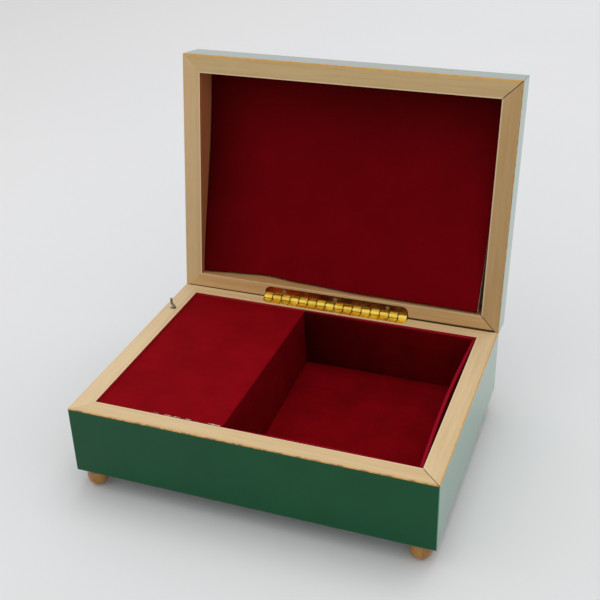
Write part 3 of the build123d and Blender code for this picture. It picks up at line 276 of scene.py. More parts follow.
def rail_finish(name, on_lid, lengthways, tint, inner_tints, wear, mitres, joint, wood_above=1.0):
    """Green gloss lacquer outside, bare wood on rim and inner faces, a worn line where they meet.

    tint: what darkens or lightens the wood, partly its own tone and partly painted shade and painted light.
    inner_tints: the same for the inner faces, by the rim and deep down; on the rails they are painted shade,
    with a red dye on the dyed ones.
    wear: width of the worn line, how even it is and its two colours.
    mitres: width of the dark joint line at the low and the high end.
    joint: width of the dark line where lid and body meet, grime in the joint and painted shade of the gap.
    wood_above: depth of a board's inner face.
    """
    rim_skin = 0.04 * mm
    side_skin = 0.1 * mm
    chip_depth = 0.2 * mm
    mitre_depth = 1.0 * mm
    arris_band = (0.3 * mm, 0.8 * mm)
    inner_change = (1.6 * mm, 2.4 * mm)
    thinnest = 0.001 * mm
    material, tree, shader = new_finish(name)
    place = from_box(tree, on_lid)
    x, y, depth = parts_of(tree, place)
    ragged = mottle(tree, place, 900.0, 4.0)
    patchy = mottle(tree, place, 55.0)
    cloudy = mottle(tree, place, 35.0, 3.0)

    across = work(tree, "ABSOLUTE", x)
    along = work(tree, "ABSOLUTE", y)
    from_side = work(tree, "SUBTRACT", across, half_length - corner_round)
    from_end = work(tree, "SUBTRACT", along, half_depth - corner_round)
    past_side = work(tree, "MAXIMUM", from_side, 0.0)
    past_end = work(tree, "MAXIMUM", from_end, 0.0)
    corner = length_of(tree, past_side, past_end, 0.0)
    inside = work(tree, "MINIMUM", work(tree, "MAXIMUM", from_side, from_end), 0.0)
    to_edge = work(tree, "SUBTRACT", corner_round, work(tree, "ADD", corner, inside))
    past_inner_side = work(tree, "SUBTRACT", across, inner_half_length)
    past_inner_end = work(tree, "SUBTRACT", along, inner_half_depth)
    to_opening = work(tree, "MAXIMUM", past_inner_side, past_inner_end)
    on_rim = work(tree, "LESS_THAN", depth, rim_skin)
    below_rim = less(tree, on_rim)

    grain, grain_height = wood_grain(tree, place, lengthways, wood_pale, wood_deep, wood_fleck)
    soiled = work(tree, "MULTIPLY", fade(tree, patchy, 0.5, 0.75), 0.25)
    grain = between(tree, 1.0, between(tree, soiled, grain, wood_deep), (*tint, 1.0), "MULTIPLY")
    arris = work(tree, "MULTIPLY", less(tree, fade(tree, to_opening, *arris_band)), on_rim)
    grain = between(tree, work(tree, "MULTIPLY", arris, 0.55), grain, wood_arris)
    sunk = work(tree, "MULTIPLY", below_rim, work(tree, "LESS_THAN", to_opening, side_skin))
    near_rim, deep_down = inner_tints
    inner = between(tree, fade(tree, depth, *inner_change), (*near_rim, 1.0), (*deep_down, 1.0))
    grain = between(tree, sunk, grain, inner, "MULTIPLY")

    wear_width, wear_even, wear_light, wear_dark = wear
    uneven = work(tree, "MULTIPLY", work(tree, "MULTIPLY", ragged, patchy), 4.0 * (1 - wear_even))
    worn_width = work(tree, "MULTIPLY", work(tree, "ADD", uneven, wear_even), max(wear_width, thinnest))
    reach = work(tree, "DIVIDE", work(tree, "MAXIMUM", to_edge, depth), worn_width)
    worn = less(tree, fade(tree, reach, 0.6 * (1 - wear_even) - 0.1, 1.0))
    stain = mottle(tree, place, 420.0, 3.0)
    rubbed = between(tree, fade(tree, stain, 0.42, 0.62), wear_light, wear_dark)
    bare = between(tree, work(tree, "MULTIPLY", worn, 0.88), grain, rubbed)

    mitre_offset = work(tree, "ABSOLUTE", work(tree, "SUBTRACT", from_side, from_end))
    mitre_widths = [max(width, thinnest) for width in mitres]
    low_to_high = x if lengthways == "x" else y
    mitre_width = put(tree, "MapRange", (low_to_high, -30 * mm, 30 * mm, *mitre_widths))
    mitre_width = work(tree, "MULTIPLY", mitre_width, work(tree, "MULTIPLY_ADD", ragged, 1.2, 0.4))
    mitre = less(tree, fade(tree, work(tree, "DIVIDE", mitre_offset, mitre_width), 0.35, 0.7))
    mitre = work(tree, "MULTIPLY", mitre, work(tree, "LESS_THAN", depth, mitre_depth))
    bare = between(tree, work(tree, "MULTIPLY", mitre, 0.9), bare, mitre_dark)

    # A dark line along the hinge axis, wider to the right: grime in the joint and painted shade of the gap
    # between lid and body.
    from_joint = work(tree, "ABSOLUTE", work(tree, "SUBTRACT", y, axis_setback))
    joint_widths = (0.45 * joint + thinnest, joint + thinnest)
    joint_width = put(tree, "MapRange", (x, -70 * mm, 70 * mm, *joint_widths))
    seam = less(tree, fade(tree, work(tree, "DIVIDE", from_joint, joint_width), 0.5, 1.0))
    bare = between(tree, work(tree, "MULTIPLY", seam, 0.93), bare, joint_grime_and_shade)

    # The right faces are painted a paler green: a painted reflection of the bright surroundings, which the
    # right side mirrors at a glancing angle.
    on_right = work(tree, "GREATER_THAN", x, half_length - 0.3 * mm)
    green = between(tree, cloudy, lacquer_deep, lacquer_green)
    green = between(tree, work(tree, "MULTIPLY", on_right, 0.7), green, lacquer_painted_reflection)

    within = work(tree, "GREATER_THAN", to_edge, side_skin)
    within = work(tree, "MULTIPLY", within, work(tree, "LESS_THAN", depth, wood_above))
    chipped = work(tree, "MULTIPLY", worn, work(tree, "LESS_THAN", depth, chip_depth))
    wood = work(tree, "MAXIMUM", work(tree, "MAXIMUM", within, on_rim), chipped)
    gloss = work(tree, "MULTIPLY_ADD", wood, 0.34, work(tree, "MULTIPLY_ADD", cloudy, 0.08, 0.16))
    coated = less(tree, wood)
    give(shader, {"Base Color": between(tree, wood, green, bare), "Roughness": gloss, "IOR": 1.25})
    give(shader, {"Coat Weight": coated, "Coat IOR": 1.17, "Coat Roughness": 0.08})
    waves = work(tree, "MULTIPLY", mottle(tree, place, 130.0), 0.06)
    height = put(tree, "Mix", {0: wood, 2: waves, 3: work(tree, "SUBTRACT", grain_height, mitre)})
    relief(tree, shader, height, 0.35, 0.12 * mm)
    return material


as_sawn = (1.0, 1.0, 1.0)
# Inner-face tints, by the rim and deep down. The dark one is painted shadow in the gaps behind the right
# lining and the liner's right edge. The brown one is painted shade on the lid's inner faces. The dyed one is
# a red dye, painted darker deeper down as shade. The pale one leaves the lid's back ledge nearly as light as
# the rim.
inside_painted_shade = ((0.7, 0.34, 0.26), (0.7, 0.34, 0.26))
inside_painted_shadow = ((0.2, 0.12, 0.09), (0.2, 0.12, 0.09))
inside_dyed_and_shaded = ((0.7, 0.04, 0.06), (0.3, 0.06, 0.06))
inside_pale = ((0.98, 0.86, 0.78), (0.98, 0.86, 0.78))
inside_plain = ((0.75, 0.62, 0.52), (0.75, 0.62, 0.52))
no_wear = (0.0, 0.0, rub_orange, rub_brown)
front_wear = (1.2 * mm, 0.65, rub_orange, rub_brown)
side_wear = (0.9 * mm, 0.55, colour(216, 160, 78), rub_orange)
glow_wear = (1.8 * mm, 1.0, colour(232, 176, 88), colour(218, 166, 84))
pale_wear = (0.5 * mm, 0.4, colour(196, 158, 100), colour(150, 112, 66))
no_mitres = (0.0, 0.0)
back_joint = 0.95 * mm
front_mitres = (0.0, 0.45 * mm)
right_mitres = (0.45 * mm, 0.0)
lid_mitres = (0.0, 0.5 * mm)
lid_right_mitres = (0.5 * mm, 0.5 * mm)
# The fourth column, the tint, is partly the wood's own tone and partly painted shade and painted light: the
# lid's rims are darkened, the right one most, and the body's back rim is lightened where the lid shades it.
rails = [
    ("body_front_rail", False, "x", (0.97, 0.95, 0.91), inside_dyed_and_shaded, front_wear, front_mitres, 0.0),
    ("body_right_rail", False, "y", as_sawn, inside_painted_shadow, side_wear, right_mitres, 0.0),
    ("body_left_rail", False, "y", as_sawn, inside_dyed_and_shaded, no_wear, no_mitres, 0.0),
    ("body_back_rail", False, "x", (1.06, 1.02, 0.98), inside_dyed_and_shaded, no_wear, no_mitres, back_joint),
    ("lid_front_rail", True, "x", (0.81, 0.77, 0.65), inside_painted_shade, glow_wear, lid_mitres, 0.0),
    ("lid_right_rail", True, "y", (0.71, 0.61, 0.48), inside_painted_shadow, pale_wear, lid_right_mitres, 0.0),
    ("lid_left_rail", True, "y", (0.85, 0.79, 0.69), inside_painted_shade, no_wear, no_mitres, 0.0),
    ("lid_back_rail", True, "x", (0.88, 0.74, 0.57), inside_pale, no_wear, lid_mitres, back_joint),
]
for node, on_lid, lengthways, tint, inner_tints, wear, mitres, joint in rails:
    dress(rail_finish(node + "_wood", on_lid, lengthways, tint, inner_tints, wear, mitres, joint), node)
board_skin = 0.05 * mm
boards = [
    ("base_panel", False, hinge_place.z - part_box("base_panel")[1].z),
    ("lid_top_panel", True, 15.5 * mm),
]
for node, on_lid, inner_depth in boards:
    look = (on_lid, "x", as_sawn, inside_plain, no_wear, no_mitres, 0.0, inner_depth + board_skin)
    dress(rail_finish(node + "_wood", *look), node)

# Feet: small turned balls of pale wood under clear orange-tinted varnish, glued into the base by a spigot.
# The lathe has left faint rings round them.
feet_pale = colour(168, 116, 36)
feet_deep = colour(132, 86, 24)
feet_fleck = colour(84, 50, 12)
feet_finish, tree, shader = new_finish("varnished_feet")
place = place_at_rest(tree)
grain, grain_height = wood_grain(tree, place, "z", feet_pale, feet_deep, feet_fleck)
give(shader, {"Base Color": grain, "Roughness": 0.3, "Coat Weight": 0.35, "Coat Roughness": 0.12})
rings = put(tree, "TexWave", {"Vector": place, "Scale": 600.0, "Distortion": 0.4}, bands_direction="Z")
relief(tree, shader, work(tree, "MULTIPLY_ADD", rings, 0.4, grain_height), 0.2, 0.05 * mm)
dress(feet_finish, "ball_feet")

# Divider and cover ledge: planed strips of the same wood, glued in and left without lacquer.
# The linings and the cover hide them, and the dye of the red cloth has stained them.
strip_dye = (0.25, 0.05, 0.05, 1.0)
bare_finish, tree, shader = new_finish("planed_strips")
grain, grain_height = wood_grain(tree, place_at_rest(tree), "y", wood_pale, wood_deep, wood_fleck)
give(shader, {"Base Color": between(tree, 0.9, grain, strip_dye, "MULTIPLY"), "Roughness": 0.6})
relief(tree, shader, grain_height, 0.3, 0.1 * mm)
dress(bare_finish, "divider", "cover_ledge")

# Red linings: stiff cards wrapped in a thin flocked cloth, cut to size and pushed in without glue.
# Each is thin, with a soft round edge where the cloth folds over, and bows a little where it is too long.
lining_red = colour(112, 2, 10)
lining_deep = colour(94, 1, 7)
lining_rubbed = colour(142, 12, 24)
fold_highlight_crimson = colour(146, 14, 34)
sheen_red = colour(235, 20, 40)
shade_red = colour(150, 120, 130)
flock_depth = 0.12 * mm
card_thickness = 1.2 * mm
card_wrap = 0.6 * mm


def flocked(name, pale, deep, rubbed, sheen, folded):
    """Deep red flock: a dense pile with small clumps, rubbed patches, a faint sheen and folded edges in a
    colour of their own, a painted highlight where that colour is lighter than the cloth.
    """
    material, tree, shader = new_finish(name)
    place = place_at_rest(tree)
    clumps = mottle(tree, place, 2600.0, 3.0, 0.65)
    patches = mottle(tree, place, 70.0, 4.0, 0.6)
    strokes = mottle(tree, place, (60, 420, 420), 3.0)
    tone = work(tree, "MULTIPLY_ADD", patches, 0.82, work(tree, "MULTIPLY", strokes, 0.18))
    ground = between(tree, fade(tree, tone, 0.3, 0.7), deep, pale)
    rub = work(tree, "MULTIPLY", fade(tree, tone, 0.6, 0.75), fade(tree, clumps, 0.4, 0.7))
    speck = work(tree, "MULTIPLY", fade(tree, clumps, 0.62, 0.78), 0.25)
    tint = between(tree, work(tree, "MAXIMUM", work(tree, "MULTIPLY", rub, 0.3), speck), ground, rubbed)
    fold = put(tree, "Attribute", attribute_name="fold").node.outputs["Fac"]
    # The folded edges take their own colour; the crimson given to the compartment and back linings is a
    # painted highlight of light catching the rounded fold.
    tint = between(tree, fade(tree, fold, 0.05, 0.5), tint, folded)
    give(shader, {"Base Color": tint, "Roughness": 0.85, "Specular IOR Level": 0.03})
    give(shader, {"Sheen Weight": sheen, "Sheen Roughness": 0.35, "Sheen Tint": sheen_red})
    relief(tree, shader, work(tree, "MULTIPLY_ADD", patches, 0.5, clumps), 0.5, flock_depth)
    return material


def paint_shade_on(material, lit_share):
    """Paints shade on a cloth: darkens it where the value given is low."""
    tree = material.node_tree
    shader = tree.nodes["Principled BSDF"]
    tint = shader.inputs["Base Color"].links[0].from_socket
    veil = between(tree, lit_share, shade_red, (1.0, 1.0, 1.0, 1.0))
    give(shader, {"Base Color": between(tree, 1.0, tint, veil, "MULTIPLY")})


def soft_steps(length, wrap, pitch):
    """Distances along a covered card, close together where its two edges turn over."""
    turn_steps = 6
    turn = [wrap * (1 - cos(pi / 2 * i / turn_steps)) for i in range(turn_steps + 1)]
    count = max(2, round((length - 2 * wrap) / pitch))
    middle = [wrap + (length - 2 * wrap) * i / count for i in range(1, count)]
    return turn + middle + [length - t for t in reversed(turn)]


def rounded(distance, length, wrap):
    """Share of the full thickness left at a distance from one of the two ends."""
    near = min(distance, length - distance) / wrap
    return sqrt(max(0.0, 1 - (1 - min(near, 1.0)) ** 2))


def covered_card(name, middle, width, height, thickness, wrap, pitch=3.0 * mm, frayed=None):
    """A card wrapped in cloth: middle(u, v) is its middle surface for u, v from 0 to width and height.

    frayed(u, v) is true where the cloth has worn off the turned edge and the card shows.
    """
    us = soft_steps(width, wrap, pitch)
    vs = soft_steps(height, wrap, pitch)
    nudge = 0.05 * mm
    points = []
    folds = []
    places = [{}, {}]
    for i, u in enumerate(us):
        for j, v in enumerate(vs):
            centre = middle(u, v)
            normal = (middle(u + nudge, v) - centre).cross(middle(u, v + nudge) - centre).normalized()
            full = rounded(u, width, wrap) * rounded(v, height, wrap)
            half = thickness / 2 * full
            rim = i in (0, len(us) - 1) or j in (0, len(vs) - 1)
            for side, sign in ((0, 1), (1, -1)):
                if rim and side == 1:
                    places[1][i, j] = places[0][i, j]
                else:
                    places[side][i, j] = len(points)
                    points.append(centre + normal * half * sign)
                    folds.append(1 - full)
    faces = []
    bare_faces = []
    for i in range(len(us) - 1):
        for j in range(len(vs) - 1):
            bare = frayed and frayed((us[i] + us[i + 1]) / 2, (vs[j] + vs[j + 1]) / 2)
            for side in (0, 1):
                ring = [places[side][i + a, j + b] for a, b in ((0, 0), (1, 0), (1, 1), (0, 1))]
                faces.append(ring if side == 0 else ring[::-1])
                bare_faces.append(1 if bare else 0)
    mesh = bpy.data.meshes.new(name)
    mesh.from_pydata(points, [], faces)
    mesh.attributes.new("fold", "FLOAT", "POINT").data.foreach_set("value", folds)
    mesh.polygons.foreach_set("material_index", bare_faces)
    mesh.shade_smooth()
    card = bpy.data.objects.new(name, mesh)
    bpy.context.collection.objects.link(card)
    return card


def ripple(x, y, scale, amount, seed):
    """A small smooth unevenness, the same each time."""
    return noise.noise(Vector((x * scale, y * scale, seed))) * amount


def line_with(card, material, node, body):
    """Finishes a covered card and puts it in the place of its CAD node."""
    card.data.materials.append(material)
    card.data.materials.append(raw_card)
    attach(card, body)
    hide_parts(node)


raw_card, tree, shader = new_finish("raw_card")
pulp = mottle(tree, place_at_rest(tree), 1800.0, 3.0)
pulp_tint = between(tree, pulp, colour(206, 188, 168), colour(232, 220, 204))
give(shader, {"Base Color": pulp_tint, "Roughness": 0.9})
relief(tree, shader, pulp, 0.4, 0.05 * mm)
compartment_red = flocked(
    "compartment_flock", lining_red, lining_deep, lining_rubbed, sheen=0.12, folded=fold_highlight_crimson
)

floor_red = flocked(
    "floor_flock",
    pale=colour(128, 3, 13),
    deep=colour(110, 2, 9),
    rubbed=colour(150, 14, 26),
    sheen=0.12,
    folded=lining_red,
)
floor_low, floor_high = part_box("floor_lining")
floor_size = floor_high - floor_low
floor_wrap = 0.5 * mm


def floor_middle(u, v):
    rise = ripple(u, v, 30, 0.12 * mm, 1.0)
    return Vector((floor_low.x + u, floor_low.y + v, (floor_low.z + floor_high.z) / 2 + rise))


floor_card = covered_card("floor_card", floor_middle, *floor_size, floor_wrap)
line_with(floor_card, floor_red, "floor_lining", "box")

front_low, front_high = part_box("front_lining")
front_size = front_high - front_low
front_bow = front_size.y - card_thickness


def front_middle(u, v):
    bow = front_bow * sin(pi * u / front_size.x) + ripple(u, v, 40, 0.15 * mm, 2.0)
    return Vector((front_high.x - u, front_low.y + card_thickness / 2 + max(bow, 0.0), front_low.z + v))


front_card = covered_card(
    "front_card", front_middle, front_size.x, front_size.z, card_thickness, card_wrap
)
line_with(front_card, compartment_red, "front_lining", "box")

back_low, back_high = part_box("back_lining")
back_size = back_high - back_low


def back_middle(u, v):
    bulge = ripple(u, v, 40, 0.05 * mm, 3.0)
    return Vector((back_low.x + u, (back_low.y + back_high.y) / 2 + bulge, back_low.z + v))


back_red = flocked("back_flock", lining_red, lining_deep, lining_rubbed, sheen=0.08, folded=fold_highlight_crimson)
tree = back_red.node_tree
x, y, z = parts_of(tree, place_at_rest(tree))
# The back lining is painted darker towards its left end: painted shade.
paint_shade_on(back_red, fade(tree, x, back_low.x - 20 * mm, back_high.x))
back_card = covered_card("back_card", back_middle, back_size.x, back_size.z, card_thickness, card_wrap)
line_with(back_card, back_red, "back_lining", "box")

right_low, right_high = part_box("right_lining")
right_size = right_high - right_low
right_thickness = 1.9 * mm
right_wrap = right_thickness / 2
right_bow = right_size.x - right_thickness


def right_middle(u, v):
    bow = right_bow * sin(pi * u / right_size.y) * (0.75 + 0.25 * v / right_size.z)
    return Vector((right_high.x - right_thickness / 2 - bow, right_high.y - u, right_low.z + v))


right_card = covered_card(
    "right_card", right_middle, right_size.y, right_size.z, right_thickness, right_wrap
)
line_with(right_card, compartment_red, "right_lining", "box")

side_low, side_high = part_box("divider_lining")
side_size = side_high - side_low
side_lean = side_size.x - card_thickness


def divider_middle(u, v):
    share = v / side_size.z
    straight = 0.8 * u / side_size.y
    lean = side_lean * (share + (1 - share) * straight) - ripple(u, v, 25, 0.2 * mm, 4.0)
    return Vector((side_high.x - card_thickness / 2 - lean, side_low.y + u, side_low.z + v))


side_fold = colour(104, 4, 14)
side_red = flocked("divider_flock", lining_red, lining_deep, lining_rubbed, sheen=0.12, folded=side_fold)
divider_card = covered_card(
    "divider_card", divider_middle, side_size.y, side_size.z, card_thickness, card_wrap
)
line_with(divider_card, side_red, "divider_lining", "box")

# Movement cover: a thicker covered card that lies on divider and ledge, and lifts out to reach the works.
# Its cloth is rubbed on top, and has frayed to the bare card along the right half of its front edge.
cover_low, cover_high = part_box("movement_cover")
cover_size = cover_high - cover_low
cover_thickness = 1.7 * mm
cover_wrap = 0.7 * mm
cover_sink = 0.12 * mm
frayed_from = cover_low.x + 0.4 * cover_size.x
frayed_to = cover_low.x + 0.7 * cover_size.x
card_pale = colour(214, 186, 166)
gap_shadow_dark = colour(50, 24, 16)


def cover_middle(u, v):
    height = cover_high.z - cover_thickness / 2 - cover_sink + ripple(u, v, 22, 0.12 * mm, 5.0)
    return Vector((cover_low.x + u, cover_low.y + v, height))


cover_red = flocked(
    "cover_flock",
    pale=colour(136, 5, 17),
    deep=colour(124, 3, 13),
    rubbed=colour(160, 22, 34),
    sheen=0.12,
    folded=colour(118, 4, 14),
)
tree = cover_red.node_tree
shader = tree.nodes["Principled BSDF"]
place = place_at_rest(tree)
x, y, z = parts_of(tree, place)
jagged = mottle(tree, place, 420.0)
from_front = work(tree, "SUBTRACT", y, cover_low.y)
frayed = fade(tree, x, frayed_from, frayed_to)
fray_edge = work(tree, "MULTIPLY_ADD", jagged, 1.3 * mm, 0.85 * mm)
card_shows = less(tree, fade(tree, work(tree, "DIVIDE", from_front, fray_edge), 0.9, 1.1))
card_shows = work(tree, "MULTIPLY", card_shows, frayed)
card_shows = work(tree, "MULTIPLY", card_shows, fade(tree, jagged, 0.46, 0.52))
# A dark band along the front edge of the frayed stretch is painted shadow of the gap under the rim.
gap_shadow = work(tree, "MULTIPLY", less(tree, fade(tree, from_front, 1.0 * mm, 1.25 * mm)), frayed)
torn = between(tree, card_shows, shader.inputs["Base Color"].links[0].from_socket, card_pale)
give(shader, {"Base Color": between(tree, work(tree, "MULTIPLY", gap_shadow, 0.9), torn, gap_shadow_dark)})
cover_card = covered_card(
    "cover_card", cover_middle, cover_size.x, cover_size.y, cover_thickness, cover_wrap
)
line_with(cover_card, cover_red, "movement_cover", "box")

# Lid liner: one large covered card, cut too long and sprung into the lid, so it bows and its low edge waves.
# It lies deep in the lid along the front and comes up near the rim by the hinge.
liner_thickness = 1.4 * mm
liner_low_s = 7.8 * mm
liner_length = 99.7 * mm
liner_side_gap = 0.3 * mm
liner_left = -inner_half_length + liner_side_gap
liner_right = inner_half_length - liner_side_gap
liner_right_gap = 1.7 * mm
liner_high_q = 12.8 * mm
liner_waves = [
    (-71.1, 2.4),
    (-55.0, 5.6),
    (-40.0, 8.0),
    (-20.0, 4.9),
    (14.0, 1.9),
    (40.0, 1.5),
    (69.4, 0.9),
]
liner_shape = 1.4
liner_short = 0.2 * mm
liner_short_height = 0.42 * liner_length
liner_pitch = 2.0 * mm
into_lid = Vector((0, sin(open_angle), cos(open_angle)))
up_lid = Vector((0, -cos(open_angle), sin(open_angle)))


def smooth_through(x, points):
    """Height at x of a smooth line through points, flat-sided like a bent card."""
    for (x0, y0), (x1, y1) in zip(points, points[1:]):
        if x <= x1 or x1 == points[-1][0]:
            share = min(max((x - x0) / (x1 - x0), 0.0), 1.0)
            share = share * share * (3 - 2 * share)
            return y0 + (y1 - y0) * share


def liner_middle(u, v):
    share = v / liner_length
    right = liner_right - liner_right_gap * (1 - share) ** 2
    x = liner_left + (right - liner_left) * u / (liner_right - liner_left)
    low_q = smooth_through(x / mm, liner_waves) * mm
    q = low_q + (liner_high_q - low_q) * sin(pi / 2 * min(share, 1.0)) ** liner_shape
    q += ripple(u, v, 18, 0.25 * mm, 6.0)
    from_hinge = Vector((x, 0, 0)) + up_lid * (liner_low_s + v) + into_lid * (q + liner_thickness / 2)
    return hinge_place + from_hinge


def liner_frayed(u, v):
    """The card's end shows at the lower part of the right edge, where the cloth was cut short."""
    return u > liner_right - liner_left - liner_short and v < liner_short_height


liner_red = flocked(
    "liner_flock",
    pale=colour(120, 3, 13),
    deep=colour(113, 2, 11),
    rubbed=colour(130, 9, 21),
    sheen=0.06,
    folded=lining_deep,
)
tree = liner_red.node_tree
x, y, depth = parts_of(tree, from_box(tree, True))
from_left = work(tree, "ADD", x, inner_half_length)
from_front = work(tree, "ADD", y, inner_half_depth)
from_hinge = work(tree, "SUBTRACT", inner_half_depth, y)
# Painted shade: the liner is darkened towards the lid's left rail and its front rail, which is at the top
# when the lid stands open, and kept lighter by the hinge.
by_left = fade(tree, from_left, -6 * mm, 34 * mm)
by_front = fade(tree, from_front, -14 * mm, 45 * mm)
by_hinge = fade(tree, from_hinge, 60 * mm, 0.0)
lit_share = work(tree, "MULTIPLY", work(tree, "MULTIPLY", by_left, by_front), 0.78)
paint_shade_on(liner_red, work(tree, "MULTIPLY_ADD", by_hinge, 0.22, lit_share))
liner_card = covered_card(
    "liner_card",
    liner_middle,
    liner_right - liner_left,
    liner_length,
    liner_thickness,
    card_wrap,
    liner_pitch,
    liner_frayed,
)
line_with(liner_card, liner_red, "lid_liner", "lid")


# Hinge: a length of rolled brass piano hinge, let into both rims and held by small countersunk brass nails.
# Its knuckles turn on one steel pin, with grime and painted shade between them, and the lid's leaf is
# painted brown as a painted reflection of the dark red box in front of it.
def metal(name, bright, dull, smooth, rough, marks, mark_depth):
    """Metal with fine marks, cloudy tarnish and a roughness that follows them."""
    material, tree, shader = new_finish(name)
    place = place_at_rest(tree)
    cloud = mottle(tree, place, 160.0, 4.0, 0.6)
    fine = mottle(tree, place, marks, 3.0)
    tint = between(tree, fade(tree, cloud, 0.35, 0.7), (*bright, 1.0), (*dull, 1.0))
    wear = work(tree, "MULTIPLY_ADD", cloud, 0.6, work(tree, "MULTIPLY", fine, 0.4))
    spread = put(tree, "MapRange", (wear, 0.3, 0.7, smooth, rough))
    give(shader, {"Base Color": tint, "Roughness": spread, "Metallic": 1.0})
    relief(tree, shader, fine, 0.3, mark_depth)
    return material


knuckle_count = 16
hinge_low, hinge_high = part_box("hinge_body_leaf")
half_knuckle = (hinge_high.x - hinge_low.x) / knuckle_count / 2
leaf_light = (0.72, 0.42, 0.1, 1.0)
leaf_dark = (0.3, 0.13, 0.03, 1.0)
grime_and_shade_brown = (0.16, 0.08, 0.02, 1.0)
hinge_brass = metal(
    "rolled_brass",
    bright=(0.95, 0.72, 0.14),
    dull=(0.78, 0.52, 0.08),
    smooth=0.12,
    rough=0.3,
    marks=(300, 2600, 2600),
    mark_depth=0.04 * mm,
)
tree = hinge_brass.node_tree
shader = tree.nodes["Principled BSDF"]
place = put(tree, "Mapping", {0: place_at_rest(tree), 1: -hinge_place})
x, y, z = parts_of(tree, place)
from_pin = length_of(tree, 0.0, y, z)
past_knuckles = fade(tree, from_pin, 2.3 * mm, 2.7 * mm)
on_leaf = work(tree, "MULTIPLY", past_knuckles, fade(tree, z, 1.5 * mm, 2.5 * mm))
# The lid's leaf is painted in mottled browns: a painted reflection of the dark box it faces.
reflection_patches = fade(tree, mottle(tree, place, 90.0, 4.0), 0.35, 0.65)
leaf_painted_reflection = between(tree, reflection_patches, leaf_dark, leaf_light)
# Darker at each knuckle's ends: grime between the knuckles and painted shade in the gaps.
along_hinge = work(tree, "SUBTRACT", x, hinge_low.x - hinge_place.x)
from_knuckle_end = work(tree, "PINGPONG", along_hinge, half_knuckle)
grime_and_shade = less(tree, fade(tree, from_knuckle_end, 0.16 * mm, 0.42 * mm))
polished = shader.inputs["Base Color"].links[0].from_socket
polished = between(tree, work(tree, "MULTIPLY", grime_and_shade, 0.8), polished, grime_and_shade_brown)
give(shader, {"Base Color": between(tree, on_leaf, polished, leaf_painted_reflection)})
nail_brass = metal(
    "nail_heads",
    bright=(0.6, 0.5, 0.28),
    dull=(0.38, 0.3, 0.14),
    smooth=0.25,
    rough=0.45,
    marks=(900, 900, 900),
    mark_depth=0.03 * mm,
)
dress(hinge_brass, "hinge_body_leaf", "hinge_lid_leaf")
dress(nail_brass, "hinge_body_nails", "hinge_lid_nails")

# Stop wire: bent spring steel that rises through a hole in the left rim, where the lid presses it down.
# A small coil spring on a screwed bracket lifts it again, and its inner end then frees the fan.
drawn_marks = (900, 900, 90)
steel = metal(
    "drawn_steel",
    bright=(0.55, 0.54, 0.52),
    dull=(0.36, 0.34, 0.31),
    smooth=0.25,
    rough=0.45,
    marks=drawn_marks,
    mark_depth=0.02 * mm,
)
wire_steel = metal(
    "dark_wire",
    bright=(0.26, 0.25, 0.22),
    dull=(0.13, 0.12, 0.1),
    smooth=0.3,
    rough=0.5,
    marks=drawn_marks,
    mark_depth=0.02 * mm,
)
dress(wire_steel, "stop_wire")
dress(steel, "hinge_pin", "stop_bracket", "stop_bracket_screws", "movement_screws")
coil_low, coil_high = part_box("stop_spring")
coil_middle = (coil_low + coil_high) / 2
coil_height = coil_high.z - coil_low.z
coil_wire_radius = 0.18 * mm
coil_radius = (coil_high.x - coil_low.x) / 2 - coil_wire_radius
coil_rise = coil_height - 2 * coil_wire_radius
coil_turns = 4
coil_turn_steps = 24
coil_steps = coil_turns * coil_turn_steps
coil_sides = 8
coil_slope = coil_rise / (2 * pi * coil_radius * coil_turns)
coil_foot = (coil_middle.x, coil_middle.y, coil_low.z)
coil_points = []
for step in range(coil_steps + 1):
    angle = 2 * pi * step / coil_turn_steps
    outward = Vector((cos(angle), sin(angle), 0))
    forward = Vector((-sin(angle), cos(angle), coil_slope)).normalized()
    centre = Vector(coil_foot) + outward * coil_radius
    centre.z += coil_wire_radius + coil_rise * step / coil_steps
    for side in range(coil_sides):
        around = 2 * pi * side / coil_sides
        offset = outward * cos(around) + forward.cross(outward) * sin(around)
        coil_points.append(centre + offset * coil_wire_radius)
coil_rings = [list(range(i, i + coil_sides)) for i in range(0, len(coil_points), coil_sides)]
coil_faces = [coil_rings[0][::-1], coil_rings[-1]]
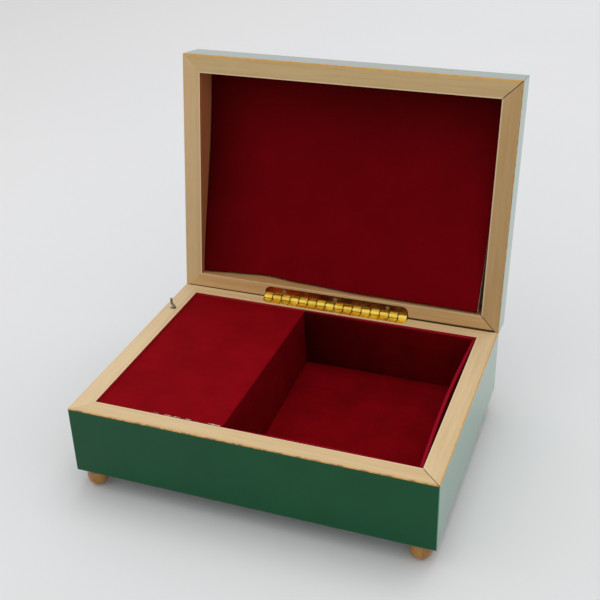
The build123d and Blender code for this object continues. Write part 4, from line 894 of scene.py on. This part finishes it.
for ring, after in zip(coil_rings, coil_rings[1:]):
    for side in range(coil_sides):
        beside = (side + 1) % coil_sides
        coil_faces.append([ring[side], ring[beside], after[beside], after[side]])
coil_mesh = bpy.data.meshes.new("stop_coil")
coil_mesh.from_pydata(coil_points, [], coil_faces)
coil_mesh.shade_smooth()
coil_mesh.materials.append(steel)
stop_coil = bpy.data.objects.new("stop_coil", coil_mesh)
bpy.context.collection.objects.link(stop_coil)
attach(stop_coil, "box")
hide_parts("stop_spring")
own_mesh(stop_coil)

# Movement: a spring barrel whose crown teeth turn the pinned cylinder, a steel comb and an air-fan governor.
# Cast zinc carries it, the wheels are brass or moulded, and it hides under the cover.
dress(steel, "winding_arbor", "winding_key", "mainspring", "cylinder_arbor", "governor_stud", "fan_spindle")
dress(steel, "comb_screws", "barrel_bridge")
comb_steel = metal(
    "ground_steel",
    bright=(0.62, 0.62, 0.62),
    dull=(0.45, 0.46, 0.48),
    smooth=0.2,
    rough=0.38,
    marks=(90, 1800, 1800),
    mark_depth=0.02 * mm,
)
dress(comb_steel, "comb")
works_brass = metal(
    "satin_brass",
    bright=(0.82, 0.62, 0.27),
    dull=(0.62, 0.45, 0.18),
    smooth=0.25,
    rough=0.45,
    marks=(1500, 150, 1500),
    mark_depth=0.02 * mm,
)
dress(works_brass, "spring_barrel", "barrel_cap", "cylinder", "drive_pinion", "fan")
cast_zinc = metal(
    "cast_zinc",
    bright=(0.5, 0.5, 0.52),
    dull=(0.36, 0.36, 0.38),
    smooth=0.45,
    rough=0.65,
    marks=(1400, 1400, 1400),
    mark_depth=0.08 * mm,
)
dress(cast_zinc, "bedplate", "comb_base", "governor_frame")
gear_finish, tree, shader = new_finish("moulded_gears")
haze = mottle(tree, place_at_rest(tree), 400.0, 3.0)
gear_tint = between(tree, haze, colour(226, 222, 208), colour(206, 200, 184))
give(shader, {"Base Color": gear_tint, "Roughness": 0.45})
relief(tree, shader, haze, 0.15, 0.05 * mm)
dress(gear_finish, "cylinder_gear", "governor_wheel")
